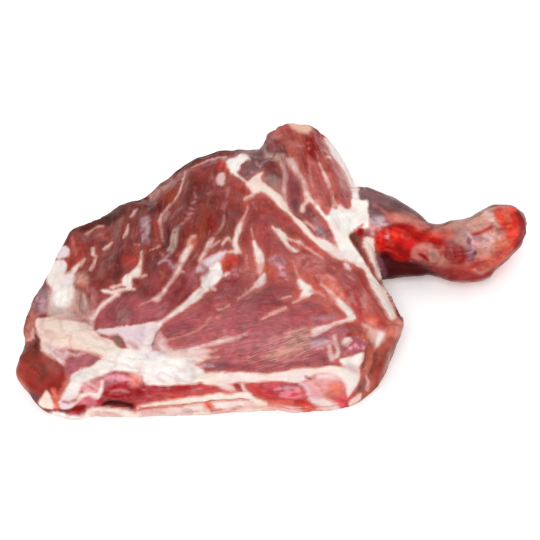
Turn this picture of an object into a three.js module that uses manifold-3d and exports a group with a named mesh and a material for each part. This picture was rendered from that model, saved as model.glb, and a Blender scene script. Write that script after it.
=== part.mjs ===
// Raw goat shoulder, lying on its outer side with the rib side up: the flat blade half, cut straight along
// its near edge, the muscles that lie on it, the neck-side flap and the foreshank with its knuckle.
// Millimetres, +Z up. X runs from the top edge of the blade to the knuckle, Y from the cut edge to the neck
// side. The origin is on the board, under the middle of the part.
import * as THREE from "three";
import { LoftGeometry } from "three/addons/geometries/LoftGeometry.js";
import { ParametricGeometry } from "three/addons/geometries/ParametricGeometry.js";
import { ImprovedNoise } from "three/addons/math/ImprovedNoise.js";
import { mergeVertices } from "three/addons/utils/BufferGeometryUtils.js";
import Module from "manifold-3d";

// The blade half: its middle, the height of its lowest flesh, and the rows and columns of its mesh.
const bladeMiddle = { x: -20, y: -30 };
const fleshFloor = 18;
const bladeColumns = 140;
const faceRows = 24;
const wallRows = 5;
const lowerRows = 5;
const underRows = 2;
const wallShare = 0.8;

// Low lumps that keep the flesh from being smooth.
const lumpSize = 26;
const lumpHeight = 1.2;

// The rim of the blade half, anticlockwise from the elbow: where it is widest, how high that lies above the
// board, and how square the edge is (2 is round, 9 is a straight cut).
const rim = [
  { x: 88, y: -44, z: 20, square: 3.5 },
  { x: 77, y: -12, z: 22, square: 5 },
  { x: 68, y: 44, z: 24, square: 4 },
  { x: 57, y: 96, z: 28, square: 4 },
  { x: 38, y: 129, z: 31, square: 4 },
  { x: 14, y: 140, z: 31, square: 4 },
  { x: 0, y: 136, z: 28, square: 4 },
  { x: -9, y: 126, z: 22, square: 4 },
  { x: -44, y: 126, z: 19, square: 4 },
  { x: -70, y: 107, z: 18, square: 4 },
  { x: -90, y: 83, z: 17, square: 4 },
  { x: -116, y: 73, z: 15, square: 4 },
  { x: -140, y: 55, z: 13, square: 3.5 },
  { x: -155, y: 8, z: 11, square: 3.5 },
  { x: -162, y: -32, z: 10, square: 3.5 },
  { x: -168, y: -74, z: 10, square: 4 },
  { x: -150, y: -99, z: 11, square: 6 },
  { x: -110, y: -105, z: 12, square: 9 },
  { x: -40, y: -102, z: 13, square: 9 },
  { x: 24, y: -99, z: 14, square: 9 },
  { x: 66, y: -89, z: 16, square: 6 },
  { x: 80, y: -68, z: 18, square: 4 },
];

// The sheet of fat under the flesh stands out along the straight cut, with a crease above it.
const fatSheet = { high: 5, reach: 2, crease: 2 };
const roundEdge = 6;
const straightCut = 9;

// Muscles on the blade half. Each is a pillow along a line of points with the height of its crest, and falls
// off by the given drop at the given half width. Where pillows meet, the higher one shows, with a furrow.
const muscles = [
  // strips that the ribs lay on
  { line: [[-136, 48, 21], [-140, 14, 21], [-150, -18, 19]], half: 9, drop: 3 },
  { line: [[-116, 62, 26], [-120, 19, 28], [-134, -14, 25]], half: 9, drop: 3 },
  { line: [[-96, 68, 31], [-100, 18, 34], [-116, -26, 30]], half: 9, drop: 3 },
  { line: [[-76, 88, 36], [-80, 22, 40], [-100, -34, 34]], half: 9, drop: 3 },
  { line: [[-54, 112, 41], [-60, 32, 44], [-72, -12, 42], [-90, -44, 37]], half: 9, drop: 3 },
  { line: [[-34, 118, 43], [-40, 39, 47], [-50, -5, 45], [-68, -36, 41]], half: 9, drop: 3 },
  { line: [[-16, 118, 44], [-21, 72, 48], [-26, 31, 49], [-34, 2, 47]], half: 9, drop: 3 },
  // the fan on the blade
  { line: [[-10, 68, 50], [-4, 34, 49], [14, 0, 48]], half: 15, drop: 4 },
  { line: [[34, -14, 47], [0, -34, 45], [-44, -62, 38]], half: 24, drop: 4 },
  { line: [[40, -54, 41], [0, -76, 37], [-54, -84, 32]], half: 22, drop: 4 },
  { line: [[48, -22, 44], [74, -46, 38]], half: 15, drop: 4 },
  { line: [[44, -66, 38], [70, -66, 33]], half: 16, drop: 4 },
  // the blade's gristle edge and the tip in front of it
  { line: [[-152, -50, 21], [-128, -52, 26], [-96, -62, 32], [-66, -72, 35]], half: 20, drop: 4 },
  { line: [[-156, -80, 18], [-120, -88, 25], [-60, -92, 28]], half: 16, drop: 4 },
  // the neck-side flap
  { line: [[-8, 96, 52], [12, 50, 54], [36, 16, 50], [53, -4, 45]], half: 10, drop: 4 },
  { line: [[8, 112, 61], [26, 62, 60], [42, 30, 54], [57, 6, 47]], half: 10, drop: 4 },
  { line: [[30, 116, 63], [44, 74, 60], [54, 42, 54], [63, 16, 47]], half: 11, drop: 4 },
  { line: [[4, 126, 61], [16, 129, 66], [30, 123, 64]], half: 10, drop: 4 },
];
const furrowSoftness = 1.2;

// The foreshank, as rods of changing girth: the bone with its knuckle, and the two muscles that run into it.
// Each has points on its middle line, with its width and height there.
const foreshank = [
  [
    { x: 40, y: 30, z: 22, width: 40, high: 30 },
    { x: 60, y: 40, z: 25, width: 56, high: 44 },
    { x: 80, y: 38, z: 25, width: 48, high: 44 },
    { x: 98, y: 34, z: 24, width: 40, high: 38 },
    { x: 114, y: 28, z: 23, width: 34, high: 33 },
    { x: 131, y: 26, z: 24, width: 43, high: 42 },
    { x: 145, y: 30, z: 26, width: 49, high: 47 },
    { x: 157, y: 37, z: 29, width: 46, high: 45 },
    { x: 166, y: 43, z: 31, width: 38, high: 37 },
    { x: 173, y: 47, z: 33, width: 26, high: 25 },
    { x: 177, y: 49, z: 34, width: 11, high: 11 },
  ],
  [
    { x: 44, y: 54, z: 30, width: 30, high: 26 },
    { x: 64, y: 55, z: 32, width: 44, high: 36 },
    { x: 82, y: 52, z: 32, width: 38, high: 31 },
    { x: 98, y: 45, z: 31, width: 26, high: 23 },
    { x: 110, y: 39, z: 30, width: 12, high: 12 },
    { x: 116, y: 36, z: 29, width: 4, high: 4 },
  ],
  [
    { x: 50, y: 20, z: 16, width: 24, high: 20 },
    { x: 74, y: 24, z: 17, width: 32, high: 28 },
    { x: 96, y: 23, z: 17, width: 25, high: 23 },
    { x: 114, y: 21, z: 18, width: 14, high: 14 },
    { x: 124, y: 20, z: 19, width: 4, high: 4 },
  ],
];
const rodStepLength = 5;
const rodSides = 18;

const up = new THREE.Vector3(0, 0, 1);
const noise = new ImprovedNoise();
const wasm = await Module();
wasm.setup();

// A closed geometry as a solid that can be joined. Faces that shrink to a line at a pole are left out.
function solidOf(geometry) {
  const bare = new THREE.BufferGeometry();
  bare.setAttribute("position", geometry.attributes.position);
  bare.setIndex(geometry.index);
  const merged = mergeVertices(bare, 1e-3);
  const corners = merged.index.array;
  const kept = [];
  for (let i = 0; i < corners.length; i += 3) {
    const [a, b, c] = corners.slice(i, i + 3);
    if (a !== b && b !== c && c !== a) kept.push(a, b, c);
  }
  const mesh = new wasm.Mesh({
    numProp: 3,
    vertProperties: merged.attributes.position.array,
    triVerts: new Uint32Array(kept),
  });
  return new wasm.Manifold(mesh);
}

function geometryOf(solid) {
  const { vertProperties, triVerts } = solid.getMesh();
  const geometry = new THREE.BufferGeometry();
  geometry.setAttribute("position", new THREE.BufferAttribute(vertProperties, 3));
  geometry.setIndex(new THREE.BufferAttribute(triVerts, 1));
  geometry.computeVertexNormals();
  return geometry;
}

function lump(x, y) {
  return lumpHeight * noise.noise(x / lumpSize, y / lumpSize, 0);
}

// Height of one muscle over a point of the plan, from the nearest point of its line.
function pillowHeight({ line, half, drop }, x, y) {
  let height = -Infinity;
  for (let i = 1; i < line.length; i++) {
    const [ax, ay, az] = line[i - 1];
    const [bx, by, bz] = line[i];
    const along = (x - ax) * (bx - ax) + (y - ay) * (by - ay);
    const share = THREE.MathUtils.clamp(along / ((bx - ax) ** 2 + (by - ay) ** 2), 0, 1);
    const across = Math.hypot(x - ax - share * (bx - ax), y - ay - share * (by - ay));
    height = Math.max(height, az + share * (bz - az) - drop * (across / half) ** 2);
  }
  return height;
}

// The highest muscle over a point, with the furrows between muscles slightly rounded.
function fleshHeight(x, y) {
  const heights = muscles.map((muscle) => pillowHeight(muscle, x, y));
  const top = Math.max(fleshFloor, ...heights);
  const others = heights.reduce((sum, height) => sum + Math.exp((height - top) / furrowSoftness), 0);
  return top + furrowSoftness * Math.log(Math.max(1, others)) + lump(x, y);
}

// A row of the blade half: how far out it lies, from 1 at the rim to 0 in the middle, and how far its edge
// has turned over. Rows climb the wall in even steps and then cross the face. The section is a superellipse.
function rowShape(fromRim, square) {
  const rowsOfWall = fromRim > 0 ? wallRows : lowerRows;
  const rowsOfFace = fromRim > 0 ? faceRows : underRows;
  const step = Math.abs(fromRim);
  const outOf = (lift) => (1 - lift ** square) ** (1 / square);
  if (step <= rowsOfWall) {
    const lift = (wallShare * step) / rowsOfWall;
    return { spread: outOf(lift), lift };
  }
  const spread = outOf(wallShare) * (1 - (step - rowsOfWall) / rowsOfFace);
  return { spread, lift: outOf(spread) };
}

// How far the lower wall stands out or in at a height, where the edge is a straight cut.
function sheetReach(height, square) {
  const straight = THREE.MathUtils.smoothstep(square, roundEdge, straightCut);
  if (height < fatSheet.high) return fatSheet.reach * straight;
  return -fatSheet.crease * straight * THREE.MathUtils.clamp(2 - height / fatSheet.high, 0, 1);
}

function bladeGeometry() {
  const closed = true;
  const edge = new THREE.CatmullRomCurve3(rim.map(({ x, y, z }) => new THREE.Vector3(x, y, z)), closed);
  const squareness = new THREE.CatmullRomCurve3(rim.map((p) => new THREE.Vector3(p.square, 0, 0)), closed);
  const rimRow = underRows + lowerRows;
  const rows = rimRow + wallRows + faceRows;
  const surface = (u, v, target) => {
    const outer = edge.getPoint(u % 1);
    const square = squareness.getPoint(u % 1).x;
    const fromRim = Math.round(v * rows) - rimRow;
    const { spread, lift } = rowShape(fromRim, square);
    const out = new THREE.Vector2(outer.x - bladeMiddle.x, outer.y - bladeMiddle.y);
    target.set(bladeMiddle.x + out.x * spread, bladeMiddle.y + out.y * spread, 0);
    const flatAfterWall = -outer.z * (1 / wallShare - 1);
    const face = fromRim > 0 ? fleshHeight(target.x, target.y) : flatAfterWall;
    target.z = Math.max(0, THREE.MathUtils.lerp(outer.z, face, lift));
    if (fromRim < 0) {
      const reach = spread * sheetReach(target.z, square);
      out.setLength(reach);
      target.x += out.x;
      target.y += out.y;
    }
  };
  return new ParametricGeometry(surface, bladeColumns, rows);
}

// A rod: rings of changing girth along a smooth line.
function rodGeometry(stations) {
  const line = new THREE.CatmullRomCurve3(stations.map(({ x, y, z }) => new THREE.Vector3(x, y, z)));
  const girth = new THREE.CatmullRomCurve3(stations.map((s) => new THREE.Vector3(s.width, s.high, 0)));
  const steps = Math.round(line.getLength() / rodStepLength);
  const sections = [];
  for (let step = 0; step <= steps; step++) {
    const share = step / steps;
    const ahead = line.getTangent(share);
    const side = new THREE.Vector3().crossVectors(up, ahead).normalize();
    const lift = new THREE.Vector3().crossVectors(ahead, side);
    const { x: width, y: high } = girth.getPoint(share);
    const section = [];
    for (let i = 0; i < rodSides; i++) {
      const angle = (2 * Math.PI * i) / rodSides;
      const point = line.getPoint(share);
      point.addScaledVector(side, (Math.cos(angle) * width) / 2);
      point.addScaledVector(lift, (Math.sin(angle) * high) / 2);
      section.push(point);
    }
    sections.push(section);
  }
  return new LoftGeometry(sections, { capStart: true, capEnd: true });
}

function shoulderGeometry() {
  const rods = foreshank.map((stations) => solidOf(rodGeometry(stations)));
  return geometryOf(rods.reduce((joined, rod) => joined.add(rod), solidOf(bladeGeometry())));
}

const meat = new THREE.MeshStandardMaterial({ color: 0xa8524f, roughness: 0.45, metalness: 0 });
const shoulder = new THREE.Mesh(shoulderGeometry(), meat);
shoulder.name = "goat_shoulder";
shoulder.geometry.computeBoundingBox();
const { min, max } = shoulder.geometry.boundingBox;
shoulder.position.set(-(min.x + max.x) / 2, -(min.y + max.y) / 2, -min.z);

const part = new THREE.Group();
part.add(shoulder);

export default part;
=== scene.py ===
# Raw goat shoulder, rib side up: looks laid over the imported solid. Metres, in the solid's own frame.
import bpy
import bmesh
import math
import numpy as np
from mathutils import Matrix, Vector
from mathutils.bvhtree import BVHTree


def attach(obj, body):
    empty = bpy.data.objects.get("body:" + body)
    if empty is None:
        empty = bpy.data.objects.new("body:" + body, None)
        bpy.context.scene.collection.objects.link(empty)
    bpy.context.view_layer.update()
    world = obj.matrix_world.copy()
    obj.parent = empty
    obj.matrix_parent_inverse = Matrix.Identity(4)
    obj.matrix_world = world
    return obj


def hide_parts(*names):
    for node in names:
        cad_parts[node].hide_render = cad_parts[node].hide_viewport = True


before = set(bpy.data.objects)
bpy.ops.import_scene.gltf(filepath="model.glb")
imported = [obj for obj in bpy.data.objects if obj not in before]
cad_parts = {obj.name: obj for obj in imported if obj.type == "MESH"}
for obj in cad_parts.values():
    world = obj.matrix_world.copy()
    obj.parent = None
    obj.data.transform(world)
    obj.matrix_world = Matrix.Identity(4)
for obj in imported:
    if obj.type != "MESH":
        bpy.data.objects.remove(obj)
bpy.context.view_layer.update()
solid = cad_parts["goat_shoulder"]
print("frame loaded")

# camera: 45 degrees down, square picture
shot = {
    "aim": (-0.00552, -0.01673, 0.031),
    "elevation": 45.0,
    "distance": 1.05,
    "focal": 1538.0,     # in picture pixels
    "picture": 540.0,    # pixels a side
    "sensor": 36.0,
}
mmPerPixel = 0.69        # on the meat, across the picture
metre = 1000.0           # in millimetres

tilt = math.radians(shot["elevation"])
lookAlong = np.array([0.0, math.cos(tilt), -math.sin(tilt)])
lookUp = np.array([0.0, math.sin(tilt), math.cos(tilt)])
eye = np.array(shot["aim"]) - shot["distance"] * lookAlong


def toPicture(points):
    away = points - eye
    depth = away @ lookAlong
    u = shot["picture"] / 2 + shot["focal"] * away[:, 0] / depth
    v = shot["picture"] / 2 - shot["focal"] * (away @ lookUp) / depth
    return np.stack([u, v], 1)


cameraData = bpy.data.cameras.new("shotCamera")
cameraData.sensor_width = shot["sensor"]
cameraData.lens = shot["focal"] * shot["sensor"] / shot["picture"]
camera = bpy.data.objects.new("shotCamera", cameraData)
camera.location = eye
camera.rotation_euler = (math.pi / 2 - tilt, 0, 0)
bpy.context.scene.collection.objects.link(camera)
bpy.context.scene.camera = camera

# flesh mesh: the solid, remeshed fine enough for relief
flesh = {
    "voxel": 0.00116,
    "weld": 1e-6,
    "facetRounds": 26,       # smoothing that takes the solid's facets off
    "facetSteps": (0.5, -0.52),
    "underHeight": 0.0006,   # below this is the flat underside
    "underKeep": 0.10,       # share of the underside's faces that stays
}


def evaluatedMesh(obj):
    depsgraph = bpy.context.evaluated_depsgraph_get()
    return bpy.data.meshes.new_from_object(obj.evaluated_get(depsgraph), depsgraph=depsgraph)


def remeshedSolid():
    mesh = solid.data.copy()
    shell = bmesh.new()
    shell.from_mesh(mesh)
    bmesh.ops.remove_doubles(shell, verts=shell.verts, dist=flesh["weld"])
    shell.to_mesh(mesh)
    shell.free()
    obj = bpy.data.objects.new("goatShoulder", mesh)
    bpy.context.scene.collection.objects.link(obj)
    remesh = obj.modifiers.new("remesh", "REMESH")
    remesh.mode = "VOXEL"
    remesh.voxel_size = flesh["voxel"]
    obj.data = evaluatedMesh(obj)
    obj.modifiers.clear()

    # the flat underside needs few faces
    count = len(obj.data.vertices)
    spots = np.empty(count * 3)
    obj.data.vertices.foreach_get("co", spots)
    low = np.flatnonzero(spots.reshape(-1, 3)[:, 2] < flesh["underHeight"])
    group = obj.vertex_groups.new(name="under")
    group.add(low.tolist(), 1.0, "REPLACE")
    thin = obj.modifiers.new("thin", "DECIMATE")
    thin.vertex_group = "under"
    thin.ratio = 1 - (1 - flesh["underKeep"]) * len(low) / count
    obj.data = evaluatedMesh(obj)
    obj.modifiers.clear()
    obj.vertex_groups.clear()
    return obj


shoulder = remeshedSolid()
mesh = shoulder.data
pointCount = len(mesh.vertices)
spot = np.empty(pointCount * 3)
mesh.vertices.foreach_get("co", spot)
spot = spot.reshape(-1, 3)
edges = np.empty(len(mesh.edges) * 2, dtype=np.int64)
mesh.edges.foreach_get("vertices", edges)
edges = edges.reshape(-1, 2)
fromEnd = np.concatenate([edges[:, 0], edges[:, 1]])
toEnd = np.concatenate([edges[:, 1], edges[:, 0]])
links = np.bincount(fromEnd, minlength=pointCount).astype(float)


def aroundSum(values):
    if values.ndim == 1:
        return np.bincount(fromEnd, weights=values[toEnd], minlength=pointCount)
    return np.stack([aroundSum(column) for column in values.T], 1)


def aroundMean(values):
    total = aroundSum(values)
    return total / (links if values.ndim == 1 else links[:, None])


def smoothed(values, rounds):
    for _ in range(rounds):
        values = 0.5 * values + 0.5 * aroundMean(values)
    return values


# shrink and swell in turn, so the form keeps its size
flat = spot[:, 2] < flesh["underHeight"]
for turn in range(flesh["facetRounds"]):
    for share in flesh["facetSteps"]:
        spot = spot + share * (aroundMean(spot) - spot)
    spot[flat, 2] = 0.0
spot[:, 2] = np.maximum(spot[:, 2], 0.0)

# soft meat settles a little off the solid's outline: picture point, then shift, in pixels;
# a point without a shift holds the outline where it is
settling = {"reach": 11.0, "hold": 0.12, "lowFoot": 0.010}
outlineShifts = [
    (127, 205, -1, -3), (145, 200, -1, -1), (167, 182, -2, -2), (180, 172, -2, -2), (200, 160, -1, -1.5),
    (220, 151, 0, -1.5), (240, 150, 0, -5), (262, 143, 10, 7), (267, 136, -2.5, 0), (282, 124, 0, 3),
    (318, 131, 1, -2), (331, 145, 2, -1), (96, 221, 1, 2), (74, 232, -3, -3), (63, 250, -2, -1),
    (52, 268, 0, 0), (45, 288, -5, 0), (33, 308, -8.5, -1), (30, 320, -6.5, 0), (20, 354, 4.5, 1),
    (15, 366, 3, 0), (15, 375, -1, 0), (26, 392, 3.5, -1.5), (40, 408, 1.5, 1), (60, 415, 0, 4),
    (115, 415, 0, -2), (160, 414, 0, -1.5), (200, 413, 0, -1), (240, 412, 0, -2.5), (270, 411, 0, -4),
    (300, 410, 0, 0), (343, 405, 1, 2), (397, 345, -4, 0), (392, 365, -1, 0), (386, 292, 3.5, -1),
    (394, 305, 2.5, -1), (401, 318, 2.5, 0), (360, 186, 0, -1.5), (374, 191, -1, 2.5), (390, 196, -2, 4),
    (408, 206, -2, 3), (422, 217, -1, 2), (444, 223, 0, -4), (470, 216, -1, 7), (479, 213, 0, 8),
    (488, 207, -2, 1), (498, 205, 0, -1), (508, 205, 1, -2), (519, 213, 1, -1), (526, 232, 2, 0),
    (521, 244, -3, -3), (508, 262, -3, -3), (455, 279, 0, 2), (475, 281, 0, 3), (430, 275, 0, 2),
    (400, 278, 0, -1),
]


def settled(points):
    at = toPicture(points)
    total = np.full(len(points), settling["hold"])
    shift = np.zeros((len(points), 2))
    for u, v, du, dv in outlineShifts:
        weight = np.exp(-((at[:, 0] - u) ** 2 + (at[:, 1] - v) ** 2) / (2 * settling["reach"] ** 2))
        total += weight
        shift += weight[:, None] * (du, dv)
    shift *= (mmPerPixel / metre / total)[:, None]
    lift = np.clip(points[:, 2] / settling["lowFoot"], 0, 1)[:, None]
    slide = np.array([0, 1 / math.sin(tilt), 0])     # the foot stays on the ground
    upWay = lift * lookUp + (1 - lift) * slide
    return points + shift[:, :1] * np.array([1.0, 0, 0]) - shift[:, 1:] * upWay


def setDown(points):
    points[:, 2] = np.maximum(points[:, 2], 0.0)
    points[flat, 2] = 0.0
    mesh.vertices.foreach_set("co", points.ravel())
    mesh.update()
    return points


spot = setDown(settled(spot))
print("flesh mesh:", pointCount, "points,", sum(len(p.vertices) - 2 for p in mesh.polygons), "triangles")


def pointNormals():
    out = np.empty(pointCount * 3)
    mesh.vertex_normals.foreach_get("vector", out)
    return out.reshape(-1, 3)


facing = pointNormals()
pixel = toPicture(spot)

# what the camera sees of the smooth form
sight = {
    "leastFacing": -0.05,
    "offSurface": 0.0006,    # where a ray starts, so that it clears its own face
    "offToEye": 0.0004,
    "rounds": 2,
    "enough": 0.45,
    "leastSquare": 0.25,
}
tree = BVHTree.FromPolygons(spot.tolist(), [tuple(p.vertices) for p in mesh.polygons])
toEye = eye - spot
reachOf = np.linalg.norm(toEye, axis=1)
toEye = toEye / reachOf[:, None]
towardEye = (facing * toEye).sum(1)
clearView = np.zeros(pointCount)
for i in np.flatnonzero(towardEye > sight["leastFacing"]):
    start = Vector(spot[i] + facing[i] * sight["offSurface"] + toEye[i] * sight["offToEye"])
    hit = tree.ray_cast(start, Vector(toEye[i]), float(reachOf[i]))
    clearView[i] = 1.0 if hit[0] is None else 0.0
seen = smoothed(clearView, sight["rounds"]) > sight["enough"]
square = np.clip(towardEye, sight["leastSquare"], 1)     # how squarely a point faces the camera
print("seen points:", int(seen.sum()))

# soft noise for ragged edges and lumps, from seeded lattices
latticeSide = 32


def softNoise(points, size, seed):
    lattice = np.random.default_rng(seed).random((latticeSide,) * 3)
    at = points / size
    cell = np.floor(at).astype(int)
    part = at - cell
    part = part * part * (3 - 2 * part)
    total = np.zeros(len(points))
    for dx in (0, 1):
        for dy in (0, 1):
            for dz in (0, 1):
                corner = (cell + (dx, dy, dz)) % latticeSide
                weight = np.abs(1 - dx - part[:, 0]) * np.abs(1 - dy - part[:, 1])
                weight *= np.abs(1 - dz - part[:, 2])
                total += weight * lattice[corner[:, 0], corner[:, 1], corner[:, 2]]
    return total * 2 - 1


noiseSizes = (0.0022, 0.0042, 0.008, 0.016, 0.030)
noise2, noise4, noise8, noise16, noise30 = (
    softNoise(spot, size, seed) for seed, size in enumerate(noiseSizes, 1))


def ramp(low, high, values):
    t = np.clip((values - low) / (high - low), 0, 1)
    return t * t * (3 - 2 * t)


# colours of the meat, as screen values
tones = {
    # the dark strip brown is mostly painted shade beside seams; the deepest brown is mostly painted shade
    # in gaps and on rims
    "strip": (134, 64, 60), "stripDark": (102, 48, 44), "soot": (66, 40, 36),
    "stripBrown": (144, 68, 48), "brick": (164, 70, 62), "fan": (164, 74, 73), "rose": (176, 92, 97),
    "mauve": (178, 104, 112), "plum": (128, 70, 76), "dusk": (96, 60, 62), "slate": (126, 92, 94),
    "umber": (112, 58, 48), "maroon": (114, 62, 60), "ember": (192, 76, 64), "orange": (206, 120, 90),
    "salmon": (206, 114, 102), "scarlet": (202, 54, 46), "flap": (180, 90, 84), "blood": (202, 26, 24),
    # the blackest blood tone is partly painted shade, in gaps and on rims turned away
    "bloodDark": (138, 8, 10), "bloodBlack": (66, 8, 12), "crimson": (180, 46, 56),
    "wine": (142, 40, 38), "pinkFlesh": (226, 158, 154), "rosePink": (206, 134, 132),
    "lilac": (198, 156, 166), "lavender": (182, 152, 158), "violet": (142, 88, 104),
    "greySkin": (164, 134, 126), "sageSkin": (188, 172, 160), "paleSkin": (210, 194, 194),
    "rust": (174, 86, 70), "bone": (196, 128, 114), "tan": (206, 162, 142), "coral": (234, 76, 58),
    "whiteFat": (246, 236, 229), "cream": (245, 226, 213), "butter": (249, 236, 212),
    "blush": (240, 206, 198), "peach": (226, 174, 152), "apricot": (240, 194, 166),
    "lilacFat": (236, 214, 222), "gristle": (246, 217, 202), "shade": (204, 184, 173),
    # the whitest fat tone is partly painted light, lifting fat on sides turned from the lamp
    "snow": (255, 251, 245), "raspberry": (220, 86, 100), "candy": (240, 160, 174),
    "magenta": (198, 62, 86), "melon": (236, 122, 100), "iceLilac": (212, 198, 214),
}

# tones that lie in the dark or shine little
glossOf = {
    "bloodBlack": 0.05, "soot": 0.3, "bloodDark": 0.15, "wine": 0.4, "blood": 0.2, "umber": 0.4,
    "scarlet": 0.35, "coral": 0.25, "dusk": 0.5, "maroon": 0.6, "rust": 0.5, "crimson": 0.5,
}

veil = 0.026     # what the gloss adds on screen
gain = 1.08      # how bright the stage lights a level surface
fatGain = 1.16   # pale fat gets more light from round about
darkest = 0.002


def toLinear(tone, lit=gain):
    value = np.array(tones[tone]) / 255
    value = np.where(value <= 0.04045, value / 12.92, ((value + 0.055) / 1.055) ** 2.4)
    return np.maximum((value - veil * glossOf.get(tone, 1.0)) / lit, darkest)


# fields painted on the points
farOff = 60.0                           # pixels, where no seam is near
tiny = 1e-9
meatTone = np.tile(toLinear("strip"), (pointCount, 1))
fatTone = np.tile(toLinear("cream", fatGain), (pointCount, 1))
fatCover = np.zeros(pointCount)         # 1 where fat hides the muscle
film = np.zeros(pointCount)             # wet skin
gloss = np.ones(pointCount)
relief = np.zeros(pointCount)           # millimetres out of the surface
seamFar = np.full(pointCount, farOff)   # pixels to the nearest seam


def throughPoints(points, closed=False, steps=4):
    points = np.array(points, float)
    count = len(points)
    if count < 3:
        return points
    out = []
    for i in range(count if closed else count - 1):
        if closed:
            a, b, c, d = (points[(i + k) % count] for k in (-1, 0, 1, 2))
        else:
            a, b, c, d = (points[min(max(i + k, 0), count - 1)] for k in (-1, 0, 1, 2))
        for t in np.arange(steps) / steps:
            bend = 2 * b + (c - a) * t + (2 * a - 5 * b + 4 * c - d) * t ** 2
            out.append(0.5 * (bend + (3 * b - a - 3 * c + d) * t ** 3))
    if not closed:
        out.append(points[-1])
    return np.array(out)


def nearPoints(points, margin):
    low = np.min([p[:2] for p in points], 0) - margin
    high = np.max([p[:2] for p in points], 0) + margin
    inside = np.all((pixel > low) & (pixel < high), 1)
    return np.flatnonzero(inside & seen)


def strokeDistance(points, where):
    line = throughPoints(points)
    best = np.full(len(where), np.inf)
    for a, b in zip(line[:-1], line[1:]):
        leg = b[:2] - a[:2]
        share = np.clip((where - a[:2]) @ leg / max(leg @ leg, tiny), 0, 1)
        off = where - a[:2] - share[:, None] * leg
        best = np.minimum(best, np.hypot(off[:, 0], off[:, 1]) - (a[2] + share * (b[2] - a[2])) / 2)
    return best


def patchDistance(points, where):
    loop = throughPoints(points, closed=True, steps=3)
    best = np.full(len(where), np.inf)
    inside = np.zeros(len(where), bool)
    for a, b in zip(loop, np.roll(loop, -1, 0)):
        leg = b - a
        share = np.clip((where - a) @ leg / max(leg @ leg, tiny), 0, 1)
        off = where - a - share[:, None] * leg
        best = np.minimum(best, np.hypot(off[:, 0], off[:, 1]))
        crosses = (a[1] > where[:, 1]) != (b[1] > where[:, 1])
        rise = leg[1] if abs(leg[1]) > tiny else tiny
        inside ^= crosses & (where[:, 0] < a[0] + (where[:, 1] - a[1]) / rise * leg[0])
    return np.where(inside, -best, best)


def distanceTo(points, margin):
    ids = nearPoints(points, margin)
    shape = strokeDistance if len(points[0]) == 3 else patchDistance
    return ids, shape(points, pixel[ids])


def paint(field, tone, weight, ids=slice(None), lit=gain):
    field[ids] += weight[:, None] * (toLinear(tone, lit) - field[ids])


# fibres: lines that the muscle runs along, in the picture
lineStep = 7.3               # keeps the noise of two lines apart
hiddenLine = 3.0
hiddenSlant = (0, 0.4, 1)    # out of sight the fibres run lengthwise
fibreLines = [
    [(82, 232), (72, 258), (62, 285), (52, 310)],
    [(108, 216), (97, 250), (86, 285), (80, 310)],
    [(132, 206), (122, 245), (108, 285), (96, 315)],
    [(152, 200), (146, 235), (132, 265), (118, 285)],
    [(175, 180), (160, 235), (150, 270), (125, 315)],
    [(205, 162), (184, 225), (168, 275), (140, 300)],
    [(222, 158), (208, 210), (196, 255), (172, 295)],
    [(238, 165), (226, 215), (212, 250)],
    [(250, 196), (240, 232), (230, 262)],
    [(262, 196), (252, 250), (246, 290)],
    [(270, 205), (290, 250), (318, 282), (345, 302)],
    [(292, 222), (335, 260), (372, 295), (392, 322)],
    [(150, 322), (200, 306), (250, 296), (300, 292)],
    [(165, 335), (220, 322), (280, 312), (340, 316)],
    [(205, 362), (255, 352), (300, 338), (335, 326)],
    [(290, 132), (306, 165), (322, 200), (336, 226)],
    [(318, 136), (332, 165), (345, 200)],
    [(270, 132), (286, 160), (294, 200), (318, 226)],
    [(358, 200), (400, 222), (445, 240), (480, 236), (524, 224)],
    [(376, 262), (410, 264), (450, 266), (490, 260)],
    [(20, 340), (40, 365), (62, 385), (90, 400)],
    [(60, 332), (100, 345), (150, 362), (210, 365)],
    [(90, 392), (160, 392), (250, 392), (345, 390)],
    [(392, 322), (380, 360), (362, 392)],
]
grain = np.column_stack([spot[:, 0] * metre, spot @ hiddenSlant * metre, np.full(pointCount, hiddenLine)])
ids = np.flatnonzero(seen)
where = pixel[ids]
closest = np.full(len(ids), np.inf)
for number, points in enumerate(fibreLines):
    line = throughPoints(points)
    run = 0.0
    for a, b in zip(line[:-1], line[1:]):
        leg = b - a
        length = math.hypot(*leg)
        along = (where - a) @ leg / length
        off = where - a - np.clip(along / length, 0, 1)[:, None] * leg
        far = np.hypot(off[:, 0], off[:, 1])
        side = ((where - a)[:, 1] * leg[0] - (where - a)[:, 0] * leg[1]) / length
        better = far < closest
        closest[better] = far[better]
        grain[ids[better], 0] = (run + along[better]) * mmPerPixel
        grain[ids[better], 1] = side[better] * mmPerPixel
        grain[ids[better], 2] = number * lineStep
        run += length
print("fibre lines:", len(fibreLines))


def grainNoise(length, width, seed):
    return softNoise(grain / (length, width, 1), 1.0, seed)


fray = grainNoise(8, 1.7, 7)
fineFray = grainNoise(4, 1.2, 8)
streaks = grainNoise(20, 2.3, 9)

# brush work: each call names the layer, then tone, softness in pixels, strength,
# and the outline of a patch or the points of a line with its widths
strokes = []


def brushFor(layer):
    def stroke(tone, soft, strength, *points):
        strokes.append((layer, tone, soft, strength, points))
    return stroke


meat, skin, fat, ledge, over, speck = map(brushFor, ("meat", "skin", "fat", "ledge", "over", "speck"))

bandOutline = [
    (160, 322), (215, 300), (280, 312), (335, 322), (335, 362), (268, 376), (205, 374), (160, 345)]

# ground colours
meat("fan", 8, 1, (250, 194), (268, 192), (300, 222), (345, 260), (380, 292), (402, 322), (380, 332),
    (335, 324), (280, 316), (215, 302), (222, 280), (240, 262), (246, 215))
meat("rose", 8, 1, *bandOutline)
meat("wine", 8, 0.6, (14, 366), (40, 350), (66, 360), (100, 380), (96, 412), (40, 408), (20, 386))
meat("maroon", 4, 0.8, (356, 186), (392, 196), (432, 226), (430, 276), (384, 282), (366, 240))

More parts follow.
